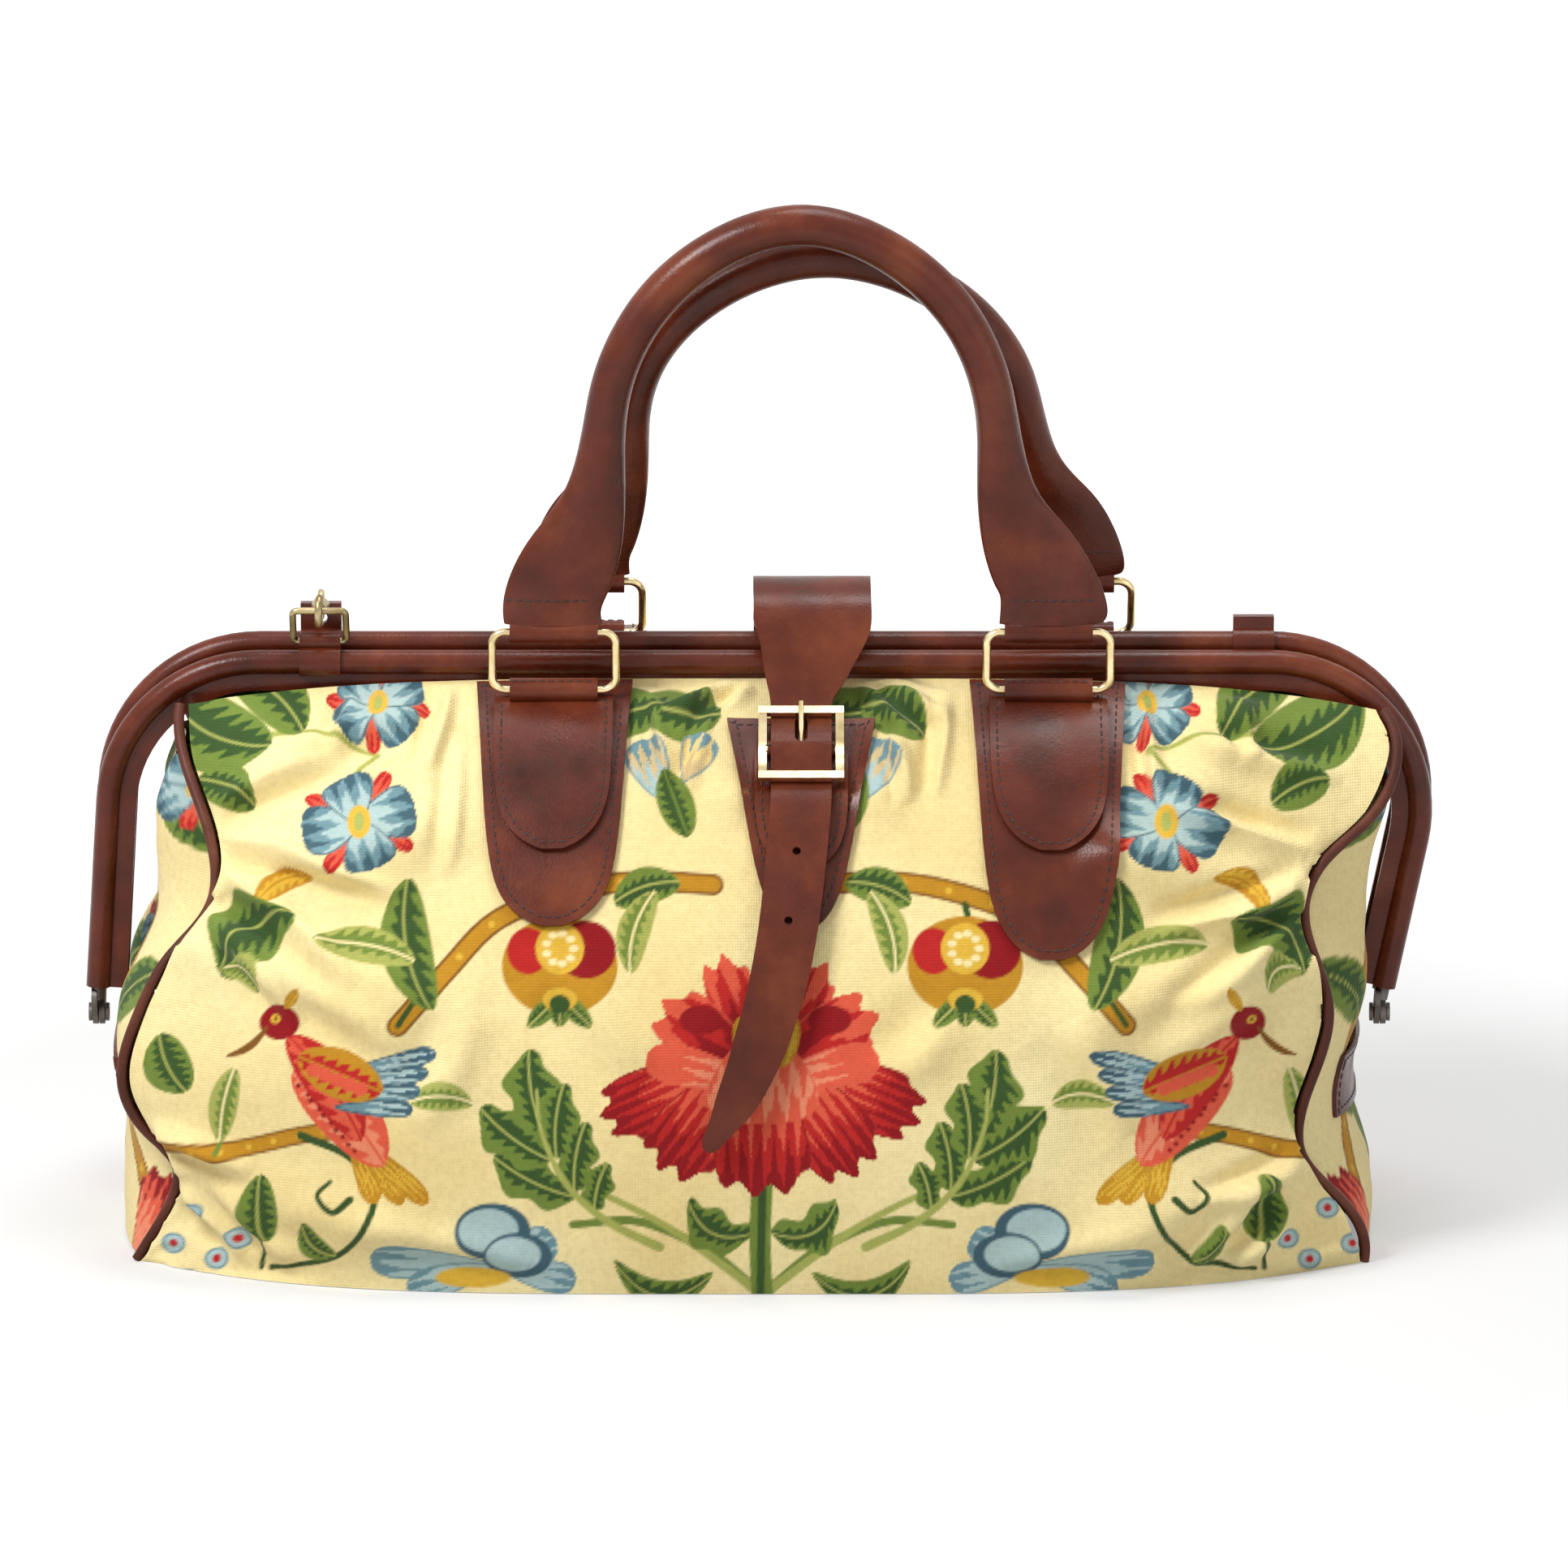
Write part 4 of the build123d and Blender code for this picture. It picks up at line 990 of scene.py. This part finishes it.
def outline_of(points):
    """The convex outline round flat points, in order."""
    points = sorted(map(tuple, points))
    ring = []
    for run in (points, points[::-1]):
        chain = []
        for point in run:
            while len(chain) > 1:
                (ax, ay), (bx, by) = chain[-2:]
                if (bx - ax) * (point[1] - ay) - (by - ay) * (point[0] - ax) > 0:
                    break
                chain.pop()
            chain.append(point)
        ring += chain[:-1]
    return np.array(ring)


def even_steps(ring, spacing):
    """Even steps round a closed outline."""
    closed = np.vstack([ring, ring[:1]])
    length = np.concatenate([[0], np.cumsum(np.linalg.norm(np.diff(closed, axis=0), axis=1))])
    wanted = np.arange(0, length[-1], spacing)
    return np.stack([np.interp(wanted, length, closed[:, axis]) for axis in range(2)], axis=1)


def inset_outline(ring, inset):
    """An outline moved inwards."""
    ring = even_steps(ring, inset / 2)
    tangent = np.roll(ring, -2, axis=0) - np.roll(ring, 2, axis=0)
    tangent /= np.linalg.norm(tangent, axis=1, keepdims=True)
    return ring + inset * np.stack([-tangent[:, 1], tangent[:, 0]], axis=1)


def stitch_places(node, look, side, inset):
    """Places and facings of the stitches round a leather piece, seen along a direction."""
    points, tree = solid_tree(node)
    look = np.array(look) / np.linalg.norm(look)
    side = np.array(side, float)
    other = np.cross(look, side)
    ring = inset_outline(outline_of(np.stack([points @ side, points @ other], axis=1)), inset)
    depth = (points @ look).min() - inset
    places = []
    for a, b in even_steps(ring, stitch_spacing):
        start = Vector(side * a + other * b + look * depth)
        hit, facing, _, _ = tree.ray_cast(start, Vector(look))
        if hit is not None:
            places.append((hit, facing))
    return places


def stitch_mesh(name, runs, body):
    """All the stitches of a body as one piece."""
    points = []
    faces = []
    ring_angles = [step * 2 * math.pi / stitch_sides for step in range(stitch_sides)]
    ring_count = len(stitch_profile_shares)
    for run in runs:
        for (hit, facing), (ahead, _) in zip(run, run[1:] + run[:1]):
            along = ahead - hit
            if along.length > 2 * stitch_spacing or along.length < stitch_radius:
                continue
            along.normalize()
            across = facing.cross(along).normalized()
            first = len(points)
            for place, share in stitch_profile_shares:
                middle = hit + along * place * stitch_length
                for angle in ring_angles:
                    spoke = across * math.cos(angle) + facing * math.sin(angle)
                    points.append(middle + spoke * stitch_radius * share)
            for ring in range(ring_count - 1):
                for step in range(stitch_sides):
                    a = first + ring * stitch_sides + step
                    b = first + ring * stitch_sides + (step + 1) % stitch_sides
                    faces.append((a, b, b + stitch_sides, a + stitch_sides))
            last = len(points)
            faces.append(tuple(range(first + stitch_sides - 1, first - 1, -1)))
            faces.append(tuple(range(last - stitch_sides, last)))
    mesh = bpy.data.meshes.new(name)
    mesh.from_pydata([point[:] for point in points], [], faces)
    mesh.polygons.foreach_set("use_smooth", [True] * len(mesh.polygons))
    mesh.update()
    piece = bpy.data.objects.new(name, mesh)
    bpy.context.collection.objects.link(piece)
    mesh.materials.append(thread)
    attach(piece, body)


def cross_stitches(node, middle, half_width, height):
    """A stitched line across a handle's flap, on its front and back."""
    _, tree = solid_tree(node)
    runs = []
    for look in (-1, 1):
        run = []
        for x in np.arange(middle - half_width, middle + half_width, stitch_spacing):
            hit, facing, _, _ = tree.ray_cast(Vector((x, -look * ray_start, height)), Vector((0, look, 0)))
            if hit is not None:
                run.append((hit, facing))
        runs.append(run)
    return runs


def make_stitching():
    """Thread round the patches, chapes, bands and buckle leathers, and across the handles' flaps."""
    looks = {"front": (0, 0.8, -0.6), "rear": (0, -0.6, -0.8)}
    runs = []
    for face, look in looks.items():
        for side in ("left", "right"):
            runs.append(stitch_places(f"{face}_{side}_patch", look, (1, 0, 0), patch_stitch_inset))
            runs.append(stitch_places(f"{face}_{side}_chape", look, (1, 0, 0), chape_stitch_inset))
    runs.append(stitch_places("buckle_patch", looks["front"], (1, 0, 0), patch_stitch_inset))
    runs.append(stitch_places("buckle_chape", looks["front"], (1, 0, 0), chape_stitch_inset))
    runs.append(stitch_places("left_gusset_band", (1, 0, 0), (0, 1, 0), chape_stitch_inset))
    runs.append(stitch_places("right_gusset_band", (-1, 0, 0), (0, 1, 0), chape_stitch_inset))
    stitch_mesh("bag_stitches", runs, "bag")
    for face in looks:
        low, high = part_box(f"{face}_handle")
        runs = []
        for x in (low[0] + flap_half_width, high[0] - flap_half_width):
            runs += cross_stitches(f"{face}_handle", x, flap_stitch_half_width, low[2] + flap_stitch_rise)
        stitch_mesh(f"{face}_handle_stitches", runs, f"{face}_handle")


# Camera, light and floor

def make_camera():
    """The photograph's view: from the front and a little above."""
    data = bpy.data.cameras.new("camera")
    camera = bpy.data.objects.new("camera", data)
    bpy.context.collection.objects.link(camera)
    middle = photo_pixels / 2
    x = (middle - photo_middle_x) * pixel_size
    rise = (photo_base_y - middle) * pixel_size
    target = Vector((x, 0, (rise - front_reach * math.sin(view_elevation)) / math.cos(view_elevation)))
    away = Vector((0, -math.cos(view_elevation), math.sin(view_elevation)))
    camera.location = target + away * camera_distance
    camera.rotation_euler = (-away).to_track_quat("-Z", "Y").to_euler()
    data.sensor_fit = "HORIZONTAL"
    data.angle = 2 * math.atan(photo_pixels * pixel_size / 2 / camera_distance)
    bpy.context.scene.camera = camera


def area_light(name, place, target, size, watts):
    """A soft box aimed at a point."""
    data = bpy.data.lights.new(name, "AREA")
    data.size = size
    data.energy = watts
    lamp = bpy.data.objects.new(name, data)
    bpy.context.collection.objects.link(lamp)
    lamp.location = place
    lamp.rotation_euler = (Vector(target) - Vector(place)).to_track_quat("-Z", "Y").to_euler()


def seen_node(tree, hidden, seen):
    """One strength for light that falls on things, another where the background itself is seen."""
    path = tree.nodes.new("ShaderNodeLightPath")
    glossy = tree.nodes.new("ShaderNodeMath")
    glossy.operation = "MAXIMUM"
    link(tree, path, "Is Camera Ray", glossy, 0)
    link(tree, path, "Is Glossy Ray", glossy, 1)
    either = tree.nodes.new("ShaderNodeMath")
    either.operation = "MAXIMUM"
    link(tree, glossy, "Value", either, 0)
    link(tree, path, "Is Transmission Ray", either, 1)
    strength = tree.nodes.new("ShaderNodeMapRange")
    set_values(strength, {"To Min": hidden, "To Max": seen})
    link(tree, either, "Value", strength, "Value")
    return strength


def shadow_glow_node(tree):
    """The floor's own glow: low round the bag, where its shadow falls, and white further out."""
    place = tree.nodes.new("ShaderNodeTexCoord")
    ball = tree.nodes.new("ShaderNodeTexGradient")
    ball.gradient_type = "SPHERICAL"
    link(tree, place, "Object", ball, "Vector")
    glow = tree.nodes.new("ShaderNodeMapRange")
    set_values(glow, {
        "From Min": 1 - shadow_outer_radius, "From Max": 1 - shadow_inner_radius, "To Min": 1,
        "To Max": floor_glow,
    })
    link(tree, ball, "Fac", glow, "Value")
    return glow


def make_stage():
    """A pale floor, a white surround and soft boxes."""
    material, tree, shader = new_material("floor")
    set_values(shader, {
        "Base Color": (floor_tone, floor_tone, floor_tone, 1), "Roughness": 0.95,
        "Specular IOR Level": 0, "Emission Color": (1, 1, 1, 1),
    })
    strength = seen_node(tree, 0, 1)
    link(tree, shadow_glow_node(tree), "Result", strength, "To Max")
    link(tree, strength, "Result", shader, "Emission Strength")
    bpy.ops.mesh.primitive_plane_add(size=floor_size, location=(0, 0, 0))
    floor = bpy.context.object
    floor.name = "floor"
    floor.data.materials.append(material)
    world = bpy.data.worlds.new("world")
    bpy.context.scene.world = world
    world.use_nodes = True
    tree = world.node_tree
    back = tree.nodes["Background"]
    set_values(back, {"Color": (1, 1, 1, 1)})
    link(tree, seen_node(tree, world_light, 1), "Result", back, "Strength")
    for name, (place, height, size, watts) in lamps.items():
        area_light(name, place, (0, 0, height), size, watts)
    bpy.context.scene.view_settings.view_transform = "Standard"


dress_nodes()
make_panels()
make_gussets()
make_stitching()
make_camera()
make_stage()
